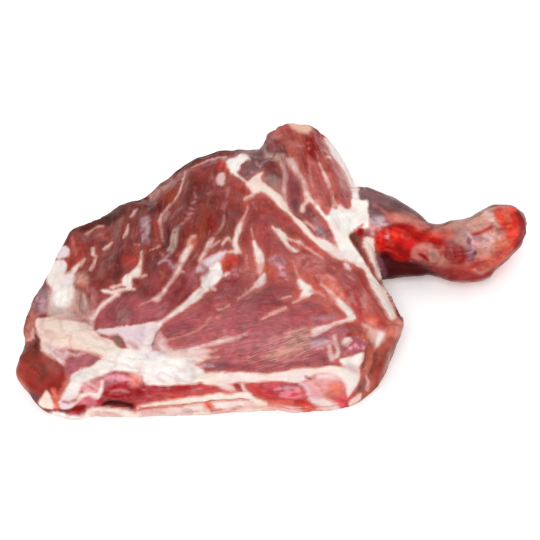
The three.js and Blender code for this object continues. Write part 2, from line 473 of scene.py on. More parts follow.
# strips
meat("rose", 10, 0.4, (146, 264), (166, 262), (200, 270), (194, 288), (172, 300), (150, 290))
meat("brick", 5, 0.7, (70, 234), (84, 231), (86, 252), (81, 266), (68, 274), (66, 262), (70, 248))
meat("salmon", 2.5, 0.7, (71, 236, 2), (74, 245, 3), (76, 255, 2))
meat("salmon", 3, 0.6, (84, 257, 2), (80, 262, 4), (74, 268, 3))
meat("brick", 4, 0.6, (96, 229), (107, 226), (108, 234), (104, 240), (96, 240))
meat("rosePink", 2, 0.4, (98, 233, 2), (102, 236, 3), (104, 240, 2))
# painted shade at the back edge
meat("soot", 3, 0.9, (96, 225), (101, 218), (110, 211), (124, 207), (128, 212), (118, 221), (106, 226))
# dark strokes in the strips: painted shade beside the seams and along the back edge, where one strip steps
# down to the next
meat("stripDark", 4, 0.8, (126, 216, 6), (138, 212, 5), (150, 213, 4))
meat("stripDark", 4, 0.8, (120, 238, 8), (117, 250, 10), (116, 266, 12), (118, 280, 10))
meat("stripDark", 3, 0.6, (107, 259, 3), (107, 270, 3))
meat("brick", 4, 0.9, (124, 256), (134, 254), (138, 259), (133, 268), (123, 268))
meat("scarlet", 3, 0.35, (127, 257), (134, 256), (133, 264), (127, 263))
meat("stripBrown", 3, 0.9, (134, 245), (142, 247), (141, 256), (136, 257))
meat("stripBrown", 4, 0.9, (163, 189), (172, 187), (171, 198), (164, 199))
meat("ember", 3, 0.55, (154, 222, 4), (157, 231, 6), (160, 240, 4))
# painted shade beside the seam, where the strip steps down
meat("soot", 2, 0.75, (165, 221, 2), (168, 228, 5), (167, 238, 5), (164, 247, 4))
# painted shade beside the seam
meat("stripDark", 4, 0.8, (146, 252), (156, 250), (158, 262), (152, 274), (144, 274), (143, 262))
meat("stripDark", 4, 0.7, (174, 279, 5), (180, 273, 6), (184, 284, 6), (176, 292, 5))
meat("stripBrown", 3, 0.6, (161, 270, 4), (162, 280, 4), (161, 288, 3))
meat("orange", 2, 0.7, (160, 271, 2), (163, 274, 3), (162, 278, 2))
meat("peach", 4, 0.7, (75, 274), (86, 274), (89, 282), (84, 287), (76, 284))
meat("salmon", 3, 0.7, (80, 284, 4), (86, 286, 4), (88, 290, 3))
meat("wine", 5, 0.7, (188, 168), (204, 162), (217, 160), (217, 172), (205, 180), (190, 180))
meat("umber", 4, 0.6, (187, 178), (200, 176), (200, 190), (188, 196))
meat("umber", 5, 0.6, (116, 214), (150, 205), (154, 215), (136, 226), (122, 238))
meat("umber", 5, 0.5, (180, 184), (190, 180), (192, 208), (182, 216))
meat("scarlet", 3, 0.8, (216, 160), (225, 160), (228, 168), (226, 174), (218, 169))
meat("orange", 3, 0.7, (226, 160, 4), (228, 167, 4), (232, 174, 3))
meat("stripDark", 4, 0.6, (192, 184), (207, 186), (206, 200), (196, 204))
meat("umber", 3, 0.8, (210, 200, 5), (212, 208, 6), (208, 216, 4))
meat("stripBrown", 4, 0.85, (200, 214), (214, 210), (214, 226), (208, 240), (198, 242), (196, 228))
meat("wine", 4, 0.8, (206, 212), (220, 212), (216, 230), (206, 236))
meat("brick", 5, 0.7, (228, 176), (242, 180), (250, 192), (247, 206), (234, 206), (226, 190))
meat("umber", 3, 0.8, (222, 226), (234, 222), (233, 238), (224, 242), (216, 240))
meat("stripDark", 3, 0.7, (224, 205, 4), (224, 212, 6), (228, 220, 5))
meat("dusk", 2.5, 0.95, (212, 257), (214, 250), (221, 244), (231, 243), (232, 249), (222, 251), (216, 256))
meat("orange", 3, 0.8, (189, 237), (195, 236), (197, 243), (193, 249), (187, 248), (186, 243))
meat("ember", 2, 1, (222, 257), (230, 254), (240, 255), (240, 263), (232, 271), (225, 274), (221, 266))
meat("scarlet", 3, 0.5, (230, 255), (240, 256), (239, 263), (230, 262))
meat("slate", 3, 0.8, (204, 267, 6), (208, 271, 8), (206, 276, 5))
meat("mauve", 4, 0.7, (194, 268), (204, 272), (200, 288), (190, 288), (190, 276))
meat("rose", 6, 0.8, (100, 296), (140, 294), (166, 300), (160, 318), (122, 326), (98, 328))
meat("mauve", 4, 0.45, (138, 306), (166, 303), (166, 313), (152, 320), (134, 322))
meat("greySkin", 4, 0.6, (117, 311), (128, 310), (129, 321), (118, 323))
meat("plum", 6, 0.55, (104, 300), (128, 298), (132, 316), (112, 322))
meat("stripDark", 4, 0.6, (125, 292, 6), (140, 292, 8), (152, 296, 4))
meat("wine", 5, 0.4, (196, 304), (212, 300), (214, 316), (198, 322))
meat("plum", 5, 0.5, (166, 326), (196, 322), (190, 336), (166, 340))
# painted shade near the back edge
meat("stripDark", 4, 0.8, (130, 207), (144, 204), (158, 203), (168, 206), (154, 214), (144, 214))
meat("stripDark", 4, 0.6, (182, 192), (192, 190), (190, 204), (182, 206))
# dark rim along the back: painted shade where the surface curves away
meat("soot", 1.5, 0.9, (60, 250, 2), (66, 245, 3), (70, 236, 2), (73, 231, 2), (82, 229, 3), (92, 226, 4),
    (98, 221, 3), (104, 215, 2.5), (110, 210, 2.5), (122, 206, 2), (136, 202, 2), (147, 199, 2))
meat("soot", 2, 0.9, (150, 195, 2), (160, 186, 3), (170, 176, 4), (180, 169, 5), (190, 163, 5),
    (202, 157, 5), (214, 153, 5))
meat("maroon", 2, 0.9, (204, 158, 3), (216, 154, 6), (232, 153, 6), (248, 152, 5), (262, 154, 7))
# torn silverskin; some pale flecks among it are painted highlights of the wet surface
# pale lavender smear: painted highlight on the wet muscle
skin("lavender", 2.5, 0.85, (142, 218), (149, 217), (150, 228), (149, 238), (147, 244), (142, 240),
    (141, 228))
skin("lilac", 2, 0.6, (142, 232, 2), (144, 238, 3), (141, 242, 2))
skin("violet", 2, 0.6, (146, 240, 3), (148, 244, 2))
skin("sageSkin", 2, 0.85, (182, 227), (178, 232), (177, 240), (176, 247), (172, 253), (166, 249),
    (170, 243), (170, 235), (175, 229))
skin("greySkin", 2.5, 0.4, (123, 217, 3), (118, 226, 6), (115, 235, 6), (112, 242, 3))
skin("greySkin", 3, 0.2, (104, 252, 4), (102, 262, 5), (100, 276, 6))
# a column of pale flecks: painted highlights on the wet muscle
skin("rosePink", 1.3, 0.7, (195, 193, 1.5), (196, 198, 2))
skin("lilac", 1.3, 0.7, (192, 203, 1.5), (195, 202, 2))
skin("rosePink", 1.3, 0.7, (190, 208, 1.5), (194, 210, 2))
skin("lilac", 1.3, 0.7, (188, 214, 2), (193, 213, 2))
skin("rosePink", 1.3, 0.7, (185, 219, 2), (190, 217, 2))
skin("lilac", 1.3, 0.5, (178, 228, 2), (184, 222, 2))
for tone, strength in (("stripDark", 0.3), ("rosePink", 0.1), ("brick", 0.2)):
    speck(tone, 10, strength, (70, 234), (150, 202), (215, 158), (245, 180), (230, 250), (180, 290),
        (100, 300))
# pale flecks, partly painted glints on the wet muscle
skin("lilac", 1.5, 0.75, (157, 264, 2), (164, 260, 2.5), (170, 261, 2))
skin("lilac", 1.5, 0.7, (172, 253, 2), (166, 257, 3), (163, 260, 2))
skin("rosePink", 1.5, 0.6, (160, 252, 2), (163, 255, 2))
skin("lilac", 2.5, 0.7, (170, 264, 4), (174, 268, 5), (178, 264, 4))
skin("rosePink", 1.5, 0.5, (176, 256, 2), (180, 253, 2), (184, 250, 2))
# painted highlight, laid as a pale fat patch
fat("blush", 1.8, 0.85, (218, 175), (224, 173), (225, 184), (222, 187), (217, 184))
skin("rosePink", 3, 0.4, (213, 176, 4), (214, 184, 4))
skin("rosePink", 2.5, 0.5, (227, 188, 3), (227, 198, 3), (224, 205, 3), (222, 211, 2))
skin("rosePink", 2, 0.4, (209, 188, 2), (209, 194, 3))
fat("iceLilac", 2.5, 0.9, (204, 261), (210, 256), (220, 252), (224, 256), (214, 265), (206, 270),
    (197, 272), (198, 267))
fat("iceLilac", 2.2, 0.85, (224, 252, 3), (218, 257, 6), (211, 261, 7), (205, 264, 5))
skin("lilac", 2.5, 0.5, (234, 270, 5), (240, 271, 5), (228, 278, 4))
skin("mauve", 4, 0.5, (190, 274, 5), (194, 276, 6), (198, 274, 4))
# fat between the strips
fat("peach", 1.8, 0.8, (185, 172, 2), (183, 180, 2.5), (181, 189, 2.5), (177, 197, 2.5), (171, 204, 2.5),
    (165, 211, 3), (161, 216, 3), (160, 222, 3))
fat("rosePink", 1.8, 0.7, (160, 222, 3.5), (161, 229, 3), (162, 236, 2.5), (163, 241, 1.5))
fat("shade", 2, 0.45, (169, 212, 3), (166, 217, 3), (165, 221, 2))
fat("blush", 2, 0.9, (191, 247, 4), (187, 252, 6), (184, 257, 7), (181, 263, 5), (179, 269, 3.5))
fat("whiteFat", 2, 0.7, (187, 253, 3), (184, 260, 3))
fat("blush", 1.8, 0.85, (180, 269, 4), (175, 276, 3.5), (169, 284, 3), (165, 290, 3.5))
fat("cream", 1.8, 0.8, (165, 290, 3.5), (160, 295, 4.5), (157, 299, 5), (153, 300, 3))
fat("rosePink", 1.8, 0.65, (154, 300, 3), (146, 303, 2.5), (139, 306, 2))
fat("blush", 1.5, 0.6, (179, 271, 2), (184, 272, 2))
fat("peach", 2, 0.8, (195, 236, 3), (191, 239, 3), (189, 244, 2))
fat("peach", 2, 0.85, (142, 252, 2), (141, 258, 3), (140, 264, 4))
fat("blush", 2, 0.9, (141, 262), (142, 268), (141, 274), (136, 277), (130, 274), (136, 267))
fat("whiteFat", 2, 1, (138, 269), (138, 274), (132, 279), (131, 288), (125, 287), (121, 282), (123, 277),
    (130, 273))
fat("blush", 1.5, 0.8, (139, 276, 3), (146, 275, 2.5))
fat("blush", 1.8, 0.9, (130, 289, 4), (124, 285, 4), (118, 286, 3), (112, 288, 4))
fat("cream", 1.8, 0.95, (134, 289, 3), (128, 289, 4), (121, 290, 4), (114, 293, 4), (108, 292, 4),
    (103, 291, 3))
over("brick", 1, 0.7, (121, 287, 2), (125, 287, 2))
fat("blush", 2, 0.95, (117, 294, 4), (111, 299, 4), (106, 302, 4.5), (101, 307, 4.5), (97, 313, 4),
    (93, 319, 4))
fat("lilacFat", 2.5, 0.6, (96, 313, 5), (92, 320, 6), (92, 326, 5))
fat("peach", 1.6, 0.5, (224, 215, 2), (224, 222, 3), (221, 228, 2.5), (216, 234, 2.5))
fat("cream", 2, 0.8, (213, 239, 3), (210, 243, 5), (208, 247, 5), (205, 252, 5), (202, 257, 4),
    (200, 261, 3))
fat("blush", 1.6, 0.65, (247, 207, 2), (246, 213, 2), (243, 218, 3), (240, 222, 2.5))
fat("cream", 1.8, 0.95, (240, 224, 4), (238, 230, 5), (236, 237, 4.5), (235, 244, 5), (237, 251, 6))
fat("blush", 1.8, 0.9, (240, 253, 3), (234, 252, 4), (227, 252, 3), (222, 254, 2.5))
fat("blush", 1.5, 0.75, (212, 247, 2), (217, 243, 2.5), (220, 241, 2))
fat("blush", 1.5, 0.75, (222, 244, 2), (225, 242, 2.5), (228, 239, 4), (230, 241, 2))
fat("peach", 1.6, 0.8, (86, 234, 3), (90, 231, 3), (97, 227, 2.5), (103, 226, 2))
fat("blush", 1.6, 0.75, (131, 217, 2), (134, 213, 3), (137, 209, 2))
fat("blush", 1.6, 0.65, (128, 225, 2), (127, 231, 3.5), (123, 238, 2))
# painted glints, laid as pale fat lines
fat("blush", 1.6, 0.85, (93, 249, 3), (93, 255, 3.5))
fat("blush", 1.6, 0.8, (96, 257, 2), (94, 263, 3.5), (90, 270, 2))
fat("cream", 1.6, 0.85, (104, 250, 3), (108, 247, 4), (112, 243, 2))
fat("peach", 1.5, 0.7, (150, 250, 2), (155, 248, 2), (159, 246, 2))
fat("peach", 1.5, 0.4, (135, 245, 2), (140, 245, 2))
fat("shade", 2, 0.5, (172, 180, 3), (163, 187, 5), (154, 194, 5), (150, 199, 3))
fat("shade", 2, 0.25, (187, 170, 3), (180, 174, 5), (173, 179, 5))
fat("blush", 1.6, 0.6, (192, 168, 2), (204, 163, 2.5), (215, 159, 3), (226, 157, 3))
fat("snow", 1.8, 1, (226, 160), (234, 158), (242, 154), (248, 156), (250, 160), (245, 162), (241, 166),
    (240, 170), (238, 174), (244, 179), (248, 184), (240, 179), (232, 174), (228, 167))
# the main tendon
fat("snow", 1.8, 1, (216, 261), (220, 263), (222, 269), (224, 274), (220, 280), (213, 287), (207, 293),
    (198, 300), (189, 306), (180, 312), (171, 318), (164, 324), (157, 331), (154, 340), (144, 334),
    (126, 328), (142, 324), (154, 322), (163, 319), (172, 312), (182, 304), (190, 296), (196, 289),
    (201, 286), (201, 279), (206, 272), (211, 266))
fat("snow", 2, 0.9, (213, 276, 5), (208, 284, 6))
over("slate", 2, 0.6, (203, 266, 4), (207, 270, 4), (204, 275, 3))
fat("blush", 2, 0.5, (206, 292, 3), (192, 302, 4), (176, 313, 4), (164, 321, 3))
fat("cream", 1.5, 0.9, (220, 278, 3), (225, 275, 3), (229, 273, 2))
# painted glint, laid as a pale fat fleck
fat("blush", 1.2, 0.9, (212, 289, 3), (215, 289, 3.5))

# blade end
meat("slate", 3, 0.9, (46, 281), (51, 285), (49, 291), (40, 294), (39, 290))
meat("lavender", 3, 0.7, (38, 291), (54, 290), (52, 304), (54, 312), (46, 314), (40, 300))
meat("rosePink", 3, 0.4, (84, 288), (95, 288), (97, 300), (86, 301))
skin("lilac", 2.5, 1, (35, 296), (43, 299), (46, 304), (38, 304))
skin("lavender", 3, 0.7, (31, 303), (42, 304), (46, 309), (42, 314), (32, 311))
meat("bone", 3, 0.7, (30, 309), (36, 310), (38, 316), (31, 318), (29, 314))
meat("bone", 3, 0.9, (29, 319), (35, 319), (34, 330), (30, 340), (24, 342), (25, 332))
meat("umber", 3, 0.6, (24, 344), (32, 340), (40, 346), (42, 356), (40, 366), (28, 366), (22, 358))
meat("brick", 4, 0.5, (14, 366), (24, 360), (42, 358), (54, 362), (62, 372), (62, 384), (52, 392),
    (44, 392), (36, 398), (24, 388), (14, 376))
meat("salmon", 4, 0.35, (42, 354), (52, 359), (60, 367), (56, 374), (46, 366))
meat("bone", 3, 0.5, (14, 366), (19, 362), (22, 380), (30, 390), (26, 394), (15, 380))
meat("brick", 4, 0.8, (15, 368), (26, 364), (28, 378), (18, 380))
meat("salmon", 2.5, 0.5, (16, 372, 3), (20, 379, 3))
meat("umber", 3, 0.7, (43, 364, 5), (43, 374, 5), (40, 384, 4))
meat("bloodDark", 3, 0.45, (46, 384), (56, 382), (54, 392), (48, 390))
meat("wine", 3, 0.9, (62, 372), (68, 376), (66, 388), (60, 392), (58, 384))
meat("dusk", 2.5, 0.95, (30, 391), (37, 394), (40, 402), (34, 400), (30, 396))
meat("mauve", 2.5, 1, (64, 364), (72, 358), (84, 354), (96, 357), (100, 360), (88, 366), (78, 369),
    (70, 376), (65, 374))
meat("soot", 2, 0.8, (35, 336, 4), (38, 341, 4), (36, 347, 5), (39, 350, 3))
fat("blush", 1.6, 0.8, (33, 330, 3), (33, 336, 4), (31, 340, 2))
fat("rosePink", 1.5, 0.7, (26, 342, 2), (29, 340, 3), (31, 341, 2))
fat("lilacFat", 1.8, 1, (56, 252), (60, 247), (66, 246), (70, 250), (69, 257), (62, 259), (56, 258))
# fat at the corner
fat("whiteFat", 2, 1, (52, 266), (58, 260), (66, 261), (66, 272), (62, 282), (54, 287), (48, 284),
    (47, 277))
fat("shade", 5, 0.75, (50, 300), (60, 292), (78, 290), (88, 300), (93, 318), (72, 321), (50, 318))
fat("whiteFat", 2.4, 1, (62, 277), (69, 273), (75, 270), (74, 282), (74, 294), (72, 304), (64, 309),
    (56, 308), (51, 300), (52, 292), (50, 285), (56, 281))
fat("blush", 2, 0.9, (85, 259, 3), (79, 265, 4), (75, 270, 5))
fat("snow", 3, 0.8, (58, 290), (66, 288), (68, 300), (58, 302))
fat("shade", 3, 0.5, (50, 292, 4), (51, 302, 5), (54, 310, 5))
over("greySkin", 3.5, 0.6, (74, 296), (88, 300), (92, 314), (78, 316))
over("umber", 1.5, 0.3, (79, 286, 2), (81, 296, 3), (80, 306, 2), (82, 313, 2))
over("umber", 1.5, 0.25, (86, 290, 2), (89, 300, 3), (91, 309, 2))
over("rosePink", 2, 0.5, (92, 298, 3), (95, 306, 4), (92, 314, 3))
fat("sageSkin", 1.5, 0.7, (75, 304, 2), (78, 312, 3), (86, 318, 2))
fat("blush", 1.5, 0.6, (84, 296, 2), (86, 304, 2.5), (88, 312, 2))
over("greySkin", 1.5, 0.35, (50, 314, 2), (62, 317, 2.5), (76, 319, 2.5), (88, 322, 2))
over("mauve", 3, 0.35, (76, 312, 6), (84, 315, 6), (88, 308, 5))
fat("sageSkin", 3, 0.7, (50, 307), (68, 310), (74, 318), (52, 318))
# gristle plate with its ridges
fat("gristle", 2, 1, (36, 320), (44, 317), (52, 318), (62, 320), (76, 321), (86, 324), (93, 328), (99, 335),
    (104, 339), (112, 341), (118, 348), (128, 350), (134, 356), (112, 355), (96, 353), (84, 351), (70, 349),
    (58, 350), (48, 352), (41, 346), (40, 338), (36, 330))
fat("cream", 4, 0.85, (60, 326), (84, 324), (92, 334), (100, 342), (112, 346), (116, 352), (96, 350),
    (80, 342))
fat("whiteFat", 2.5, 0.6, (88, 340, 4), (100, 344, 5), (110, 345, 4))
fat("blush", 2.2, 0.85, (42, 350, 3), (50, 354, 5), (57, 359, 4), (64, 363, 3))
fat("lilacFat", 3, 0.7, (50, 350), (58, 348), (66, 351), (68, 357), (62, 363), (56, 358))
fat("lilacFat", 2.5, 0.85, (67, 353, 5), (76, 355, 3), (84, 353, 2))
fat("cream", 2, 1, (100, 338), (112, 341), (118, 347), (130, 350), (134, 358), (110, 358), (96, 352))
fat("blush", 1.8, 0.7, (88, 352, 3), (95, 354, 4), (102, 356, 3))
over("mauve", 2, 0.3, (56, 349, 3), (66, 351, 3), (76, 351, 3), (84, 353, 2))
# white membrane below the tendon
fat("lilacFat", 2, 0.95, (99, 329), (122, 327), (150, 325), (158, 324), (156, 334), (152, 350), (144, 352),
    (130, 351), (126, 346), (124, 339), (118, 334), (108, 336), (97, 333))
fat("whiteFat", 2, 0.8, (150, 328, 9), (148, 338, 8), (144, 350, 5))
over("greySkin", 2.2, 0.5, (112, 336), (118, 335), (121, 341), (124, 345), (119, 347), (115, 344))
over("greySkin", 2, 0.5, (128, 342, 2), (134, 346, 5), (137, 349, 3))
fat("lilacFat", 2.5, 0.5, (157, 333), (162, 334), (167, 342), (165, 351), (153, 351), (155, 342))
over("plum", 1, 0.8, (157, 332, 1), (154, 340, 2), (152, 347, 1.5))
fat("lilacFat", 2.5, 0.8, (162, 341, 4), (160, 344, 4), (163, 348, 4))
# thick fat at the front
fat("whiteFat", 2, 1, (104, 356), (120, 350), (140, 350), (160, 352), (176, 354), (190, 352), (206, 350),
    (196, 356), (204, 361), (195, 365), (204, 370), (202, 382), (180, 384), (150, 386), (143, 382),
    (142, 374), (126, 371), (110, 372), (102, 376), (92, 379), (84, 384), (80, 393), (75, 400), (64, 401),
    (61, 398), (64, 391), (67, 383), (72, 375), (80, 369), (92, 366))
fat("snow", 5, 0.9, (112, 357), (150, 354), (186, 360), (196, 376), (150, 380), (116, 366))
fat("blush", 2.5, 0.75, (190, 354, 5), (204, 352, 3), (216, 350, 1.5))
fat("blush", 2.5, 0.7, (194, 361, 5), (206, 359, 3), (218, 357, 1.5))
fat("lilacFat", 2.5, 0.7, (196, 368, 4), (206, 366, 3), (214, 366, 1.5))
fat("lilacFat", 3, 0.6, (60, 397, 4), (68, 398, 6), (74, 394, 4))
fat("blush", 2, 0.5, (66, 382, 3), (72, 375, 3), (80, 370, 3))
fat("cream", 1.8, 1, (39, 401), (43, 395), (47, 390), (51, 395), (54, 402), (55, 408), (48, 409), (42, 407),
    (39, 404))
over("melon", 2.2, 0.9, (53, 391, 5), (56, 398, 6), (57, 408, 5))
over("salmon", 2.5, 0.7, (60, 395, 4), (64, 388, 5), (67, 381, 5), (67, 374, 2))
fat("blush", 2, 1, (78, 399, 4), (84, 395, 5), (90, 393, 6), (96, 396, 6), (101, 390, 5), (102, 382, 5))
fat("whiteFat", 1.5, 0.9, (92, 394, 4), (96, 396, 5))
fat("candy", 2.5, 0.8, (82, 384), (98, 380), (99, 389), (92, 392), (81, 392))
over("mauve", 2, 0.6, (92, 381, 3), (96, 384, 3))
over("crimson", 1.5, 0.6, (89, 386, 2), (93, 389, 3))
over("raspberry", 2.5, 0.8, (82, 402), (88, 399), (94, 402), (96, 406), (88, 408))
over("candy", 3, 0.55, (74, 401), (88, 397), (98, 400), (96, 406), (82, 406))
over("raspberry", 1.5, 0.45, (80, 403, 3), (86, 399, 3), (92, 402, 4), (98, 402, 3))
over("dusk", 1.2, 0.85, (31, 396, 2), (35, 403, 2), (41, 408, 1.5))

# band of fibres
meat("mauve", 8, 0.5, (240, 330), (270, 326), (280, 345), (260, 352), (236, 345))
meat("plum", 3, 0.7, (206, 362), (242, 364), (262, 370), (240, 371), (206, 370))
meat("plum", 4, 0.5, (296, 360), (330, 350), (330, 360), (300, 368))
meat("violet", 2.5, 0.7, (204, 367, 3), (214, 366, 4), (224, 367, 2))
meat("tan", 5, 0.42, (262, 358), (282, 346), (314, 326), (314, 344), (290, 358))
meat("pinkFlesh", 5, 0.35, (268, 338), (292, 333), (294, 346), (272, 350))
meat("mauve", 5, 0.5, (296, 300), (318, 301), (320, 312), (298, 312))
meat("umber", 1.4, 0.6, (230, 371, 2), (268, 372, 2), (290, 370, 2), (305, 368, 2), (320, 366, 2),
    (335, 365, 2))
# fibres that catch the light
skin("tan", 1.5, 0.6, (284, 333, 1.5), (300, 330, 2.5), (314, 326, 1.5))
skin("tan", 1.5, 0.6, (282, 338, 1.5), (296, 334, 2.5), (310, 331, 1.5))
skin("tan", 1.5, 0.6, (284, 344, 1.5), (298, 340, 2), (308, 336, 1.5))
skin("tan", 1.8, 0.6, (272, 351, 2), (290, 346, 3), (304, 342, 1.5))
skin("tan", 1.8, 0.6, (262, 358, 2), (276, 354, 3.5), (296, 348, 2))
skin("rosePink", 1.5, 0.6, (268, 366, 1.5), (290, 361, 2.5), (306, 357, 1.5))
skin("rosePink", 1.5, 0.55, (212, 352, 1.5), (230, 349, 2), (250, 346, 2.5), (268, 344, 1.5))
skin("rosePink", 1.5, 0.5, (220, 357, 1.5), (246, 353, 2.5), (262, 350, 1.5))
skin("rosePink", 1.5, 0.5, (210, 362, 1.5), (236, 361, 2.5), (256, 362, 1.5))
skin("rosePink", 1.5, 0.5, (228, 344, 1.5), (250, 341, 2), (270, 338, 1.5))
skin("rosePink", 1.5, 0.45, (240, 336, 1.5), (262, 332, 2), (284, 327, 1.5))
skin("rosePink", 1.5, 0.4, (236, 326, 1.5), (256, 323, 2), (272, 322, 1.5))
# pale lines
fat("rosePink", 1.6, 0.6, (166, 341, 3), (180, 337, 3), (190, 333, 3), (200, 329, 3), (207, 323, 2.5),
    (211, 317, 2))
fat("blush", 3, 0.85, (160, 349), (190, 347), (208, 350), (206, 358), (186, 358), (170, 358))
fat("lilacFat", 2, 0.85, (190, 350, 4), (200, 347, 4), (212, 344, 4), (222, 341, 5), (231, 338, 4))
fat("lilacFat", 2, 0.5, (228, 340, 5), (238, 337, 4), (246, 334, 2))
over("rose", 1.5, 0.6, (174, 349, 3), (186, 347, 2), (200, 345, 1.5))
fat("rosePink", 1.2, 0.7, (218, 310, 2), (223, 309, 2))
fat("rosePink", 1.2, 0.7, (226, 307, 2), (229, 305, 2))
fat("rosePink", 1.2, 0.7, (217, 318, 2), (219, 318, 2))
fat("blush", 1.2, 0.7, (248, 357, 2), (250, 357, 2))

# fan
meat("plum", 7, 0.5, (224, 280), (262, 284), (292, 286), (288, 306), (240, 304), (218, 296))
meat("salmon", 9, 0.45, (240, 258), (290, 256), (330, 268), (340, 290), (312, 292), (285, 280), (244, 280))
meat("brick", 4, 0.7, (252, 197), (262, 194), (270, 199), (290, 216), (272, 214), (256, 215))
meat("stripBrown", 3, 0.8, (272, 222), (288, 228), (304, 238), (294, 238), (280, 230))
meat("umber", 3, 0.5, (276, 226, 4), (290, 233, 4), (302, 240, 3))
meat("stripDark", 4, 0.5, (254, 206), (262, 212), (258, 222), (250, 220))
meat("plum", 8, 0.3, (236, 310), (258, 308), (258, 326), (238, 328))
meat("ember", 3, 0.8, (262, 266), (272, 268), (277, 276), (268, 280), (260, 272))
meat("orange", 2.5, 0.7, (262, 265), (270, 267), (270, 275), (262, 274))
meat("ember", 4, 0.7, (292, 284), (299, 287), (300, 298), (294, 302))
meat("scarlet", 5, 0.4, (308, 282), (328, 284), (332, 292), (314, 290))
meat("salmon", 5, 0.6, (306, 298), (326, 297), (342, 314), (336, 318), (322, 306))
meat("salmon", 2.5, 0.6, (311, 292, 4), (322, 295, 4), (332, 302, 4))
meat("salmon", 5, 0.8, (320, 280), (336, 282), (346, 300), (334, 300))
meat("melon", 4, 0.6, (330, 282), (338, 284), (343, 298), (336, 296))
meat("brick", 4, 0.9, (352, 264), (364, 268), (370, 280), (360, 284), (354, 276))
meat("crimson", 4, 0.6, (352, 300), (362, 304), (362, 316), (355, 318))
meat("ember", 5, 0.7, (356, 316), (384, 312), (390, 322), (374, 330), (358, 324))
meat("melon", 3, 0.5, (366, 318), (378, 318), (376, 326), (366, 324))
meat("scarlet", 2, 0.7, (308, 247, 3), (315, 249, 3))
skin("rosePink", 5, 0.6, (240, 266), (252, 264), (254, 276), (242, 276))
skin("rosePink", 1.5, 0.5, (253, 202, 2), (255, 208, 2))
skin("lilac", 3, 0.6, (266, 259), (280, 256), (286, 262), (286, 272), (280, 274), (276, 266))
meat("violet", 1.5, 0.8, (272, 262, 2), (278, 259, 4), (282, 264, 3))
skin("candy", 2, 1, (280, 268, 4), (283, 274, 4), (287, 279, 2))
# pale pink patches: painted sheen on the wet fan
skin("rosePink", 4, 0.6, (296, 257), (320, 256), (322, 268), (302, 270))
skin("rosePink", 1.5, 0.4, (304, 258, 2), (312, 262, 2))
skin("rosePink", 1.5, 0.4, (308, 264, 2), (320, 268, 2))
skin("rosePink", 1.5, 0.4, (300, 252, 2), (310, 256, 2))
skin("pinkFlesh", 2.5, 0.6, (328, 275, 2), (333, 280, 4), (332, 288, 4))
skin("pinkFlesh", 1.5, 0.5, (346, 274, 2), (350, 277, 2.5), (354, 280, 2))
meat("salmon", 5, 0.5, (360, 290), (372, 294), (376, 312), (364, 312))
skin("lilac", 3, 0.5, (312, 318, 4), (324, 318, 5), (334, 316, 4))
skin("pinkFlesh", 2.5, 0.6, (364, 292, 3), (364, 300, 5), (365, 309, 3))
skin("rosePink", 2, 0.5, (349, 288, 2), (352, 296, 3), (356, 304, 2))
skin("rosePink", 2, 0.45, (334, 268, 2), (340, 278, 3), (346, 288, 2))
# pale seams of the fan
fat("rosePink", 1.6, 0.6, (251, 228, 1.5), (253, 236, 2), (254, 242, 2))
fat("whiteFat", 1.8, 1, (254, 242, 2.5), (256, 248, 4.5), (259, 254, 8), (260, 259, 8))
fat("blush", 2, 0.9, (260, 260, 8), (260, 266, 7), (259, 271, 5))
fat("whiteFat", 1.8, 0.95, (264, 275, 4), (262, 281, 8), (258, 285, 7))
fat("rosePink", 2, 0.75, (257, 286, 5), (251, 290, 3), (244, 295, 2.5), (238, 299, 2))
fat("rosePink", 1.5, 0.6, (246, 259, 2), (246, 265, 2), (249, 268, 2))
fat("rosePink", 1.5, 0.6, (246, 288, 2), (246, 293, 2))
fat("whiteFat", 1.8, 1, (273, 228, 2), (278, 232, 6), (283, 236, 7), (284, 240, 5), (289, 246, 4),
    (294, 250, 5), (297, 251, 3))
fat("blush", 1.8, 0.9, (284, 237, 3), (292, 240, 2.5), (300, 243, 3))
fat("rosePink", 1.6, 0.8, (299, 243, 3), (304, 246, 3), (310, 250, 2.5), (316, 254, 2), (323, 258, 1.5))
fat("rosePink", 1.6, 0.75, (293, 261, 1.5), (295, 268, 2), (298, 276, 2.5), (300, 281, 3))
fat("whiteFat", 2, 1, (300, 282, 5), (304, 287, 8), (308, 291, 10), (304, 294, 7))
fat("peach", 1.8, 0.8, (303, 295, 4), (299, 300, 3), (293, 303, 2))
fat("rosePink", 2, 0.7, (311, 291, 4), (318, 293, 3), (324, 296, 2))
fat("blush", 1.4, 0.7, (280, 298, 2), (285, 298, 3), (291, 296, 2))
fat("rosePink", 1.8, 0.75, (262, 320, 2), (270, 315, 4), (278, 311, 4), (286, 308, 2))
fat("peach", 1.6, 0.8, (321, 284, 2), (327, 289, 4), (332, 295, 5), (338, 301, 5))
fat("whiteFat", 1.8, 1, (338, 301, 4), (343, 306, 6.5), (349, 312, 8), (352, 317, 7))
fat("cream", 1.8, 0.9, (352, 318, 6), (347, 320, 4), (341, 322, 3))
fat("blush", 1.8, 0.85, (341, 322, 3), (334, 324, 4), (326, 327, 5))
fat("lilacFat", 3, 0.85, (310, 332), (318, 327), (328, 326), (322, 332), (314, 337))
fat("whiteFat", 2, 0.8, (313, 332, 3), (320, 329, 4), (330, 327, 3))
fat("lilacFat", 1.5, 0.9, (345, 264, 3), (347, 267, 5), (350, 269, 3))
over("dusk", 1.2, 0.7, (345, 261, 1.5), (350, 262, 2))

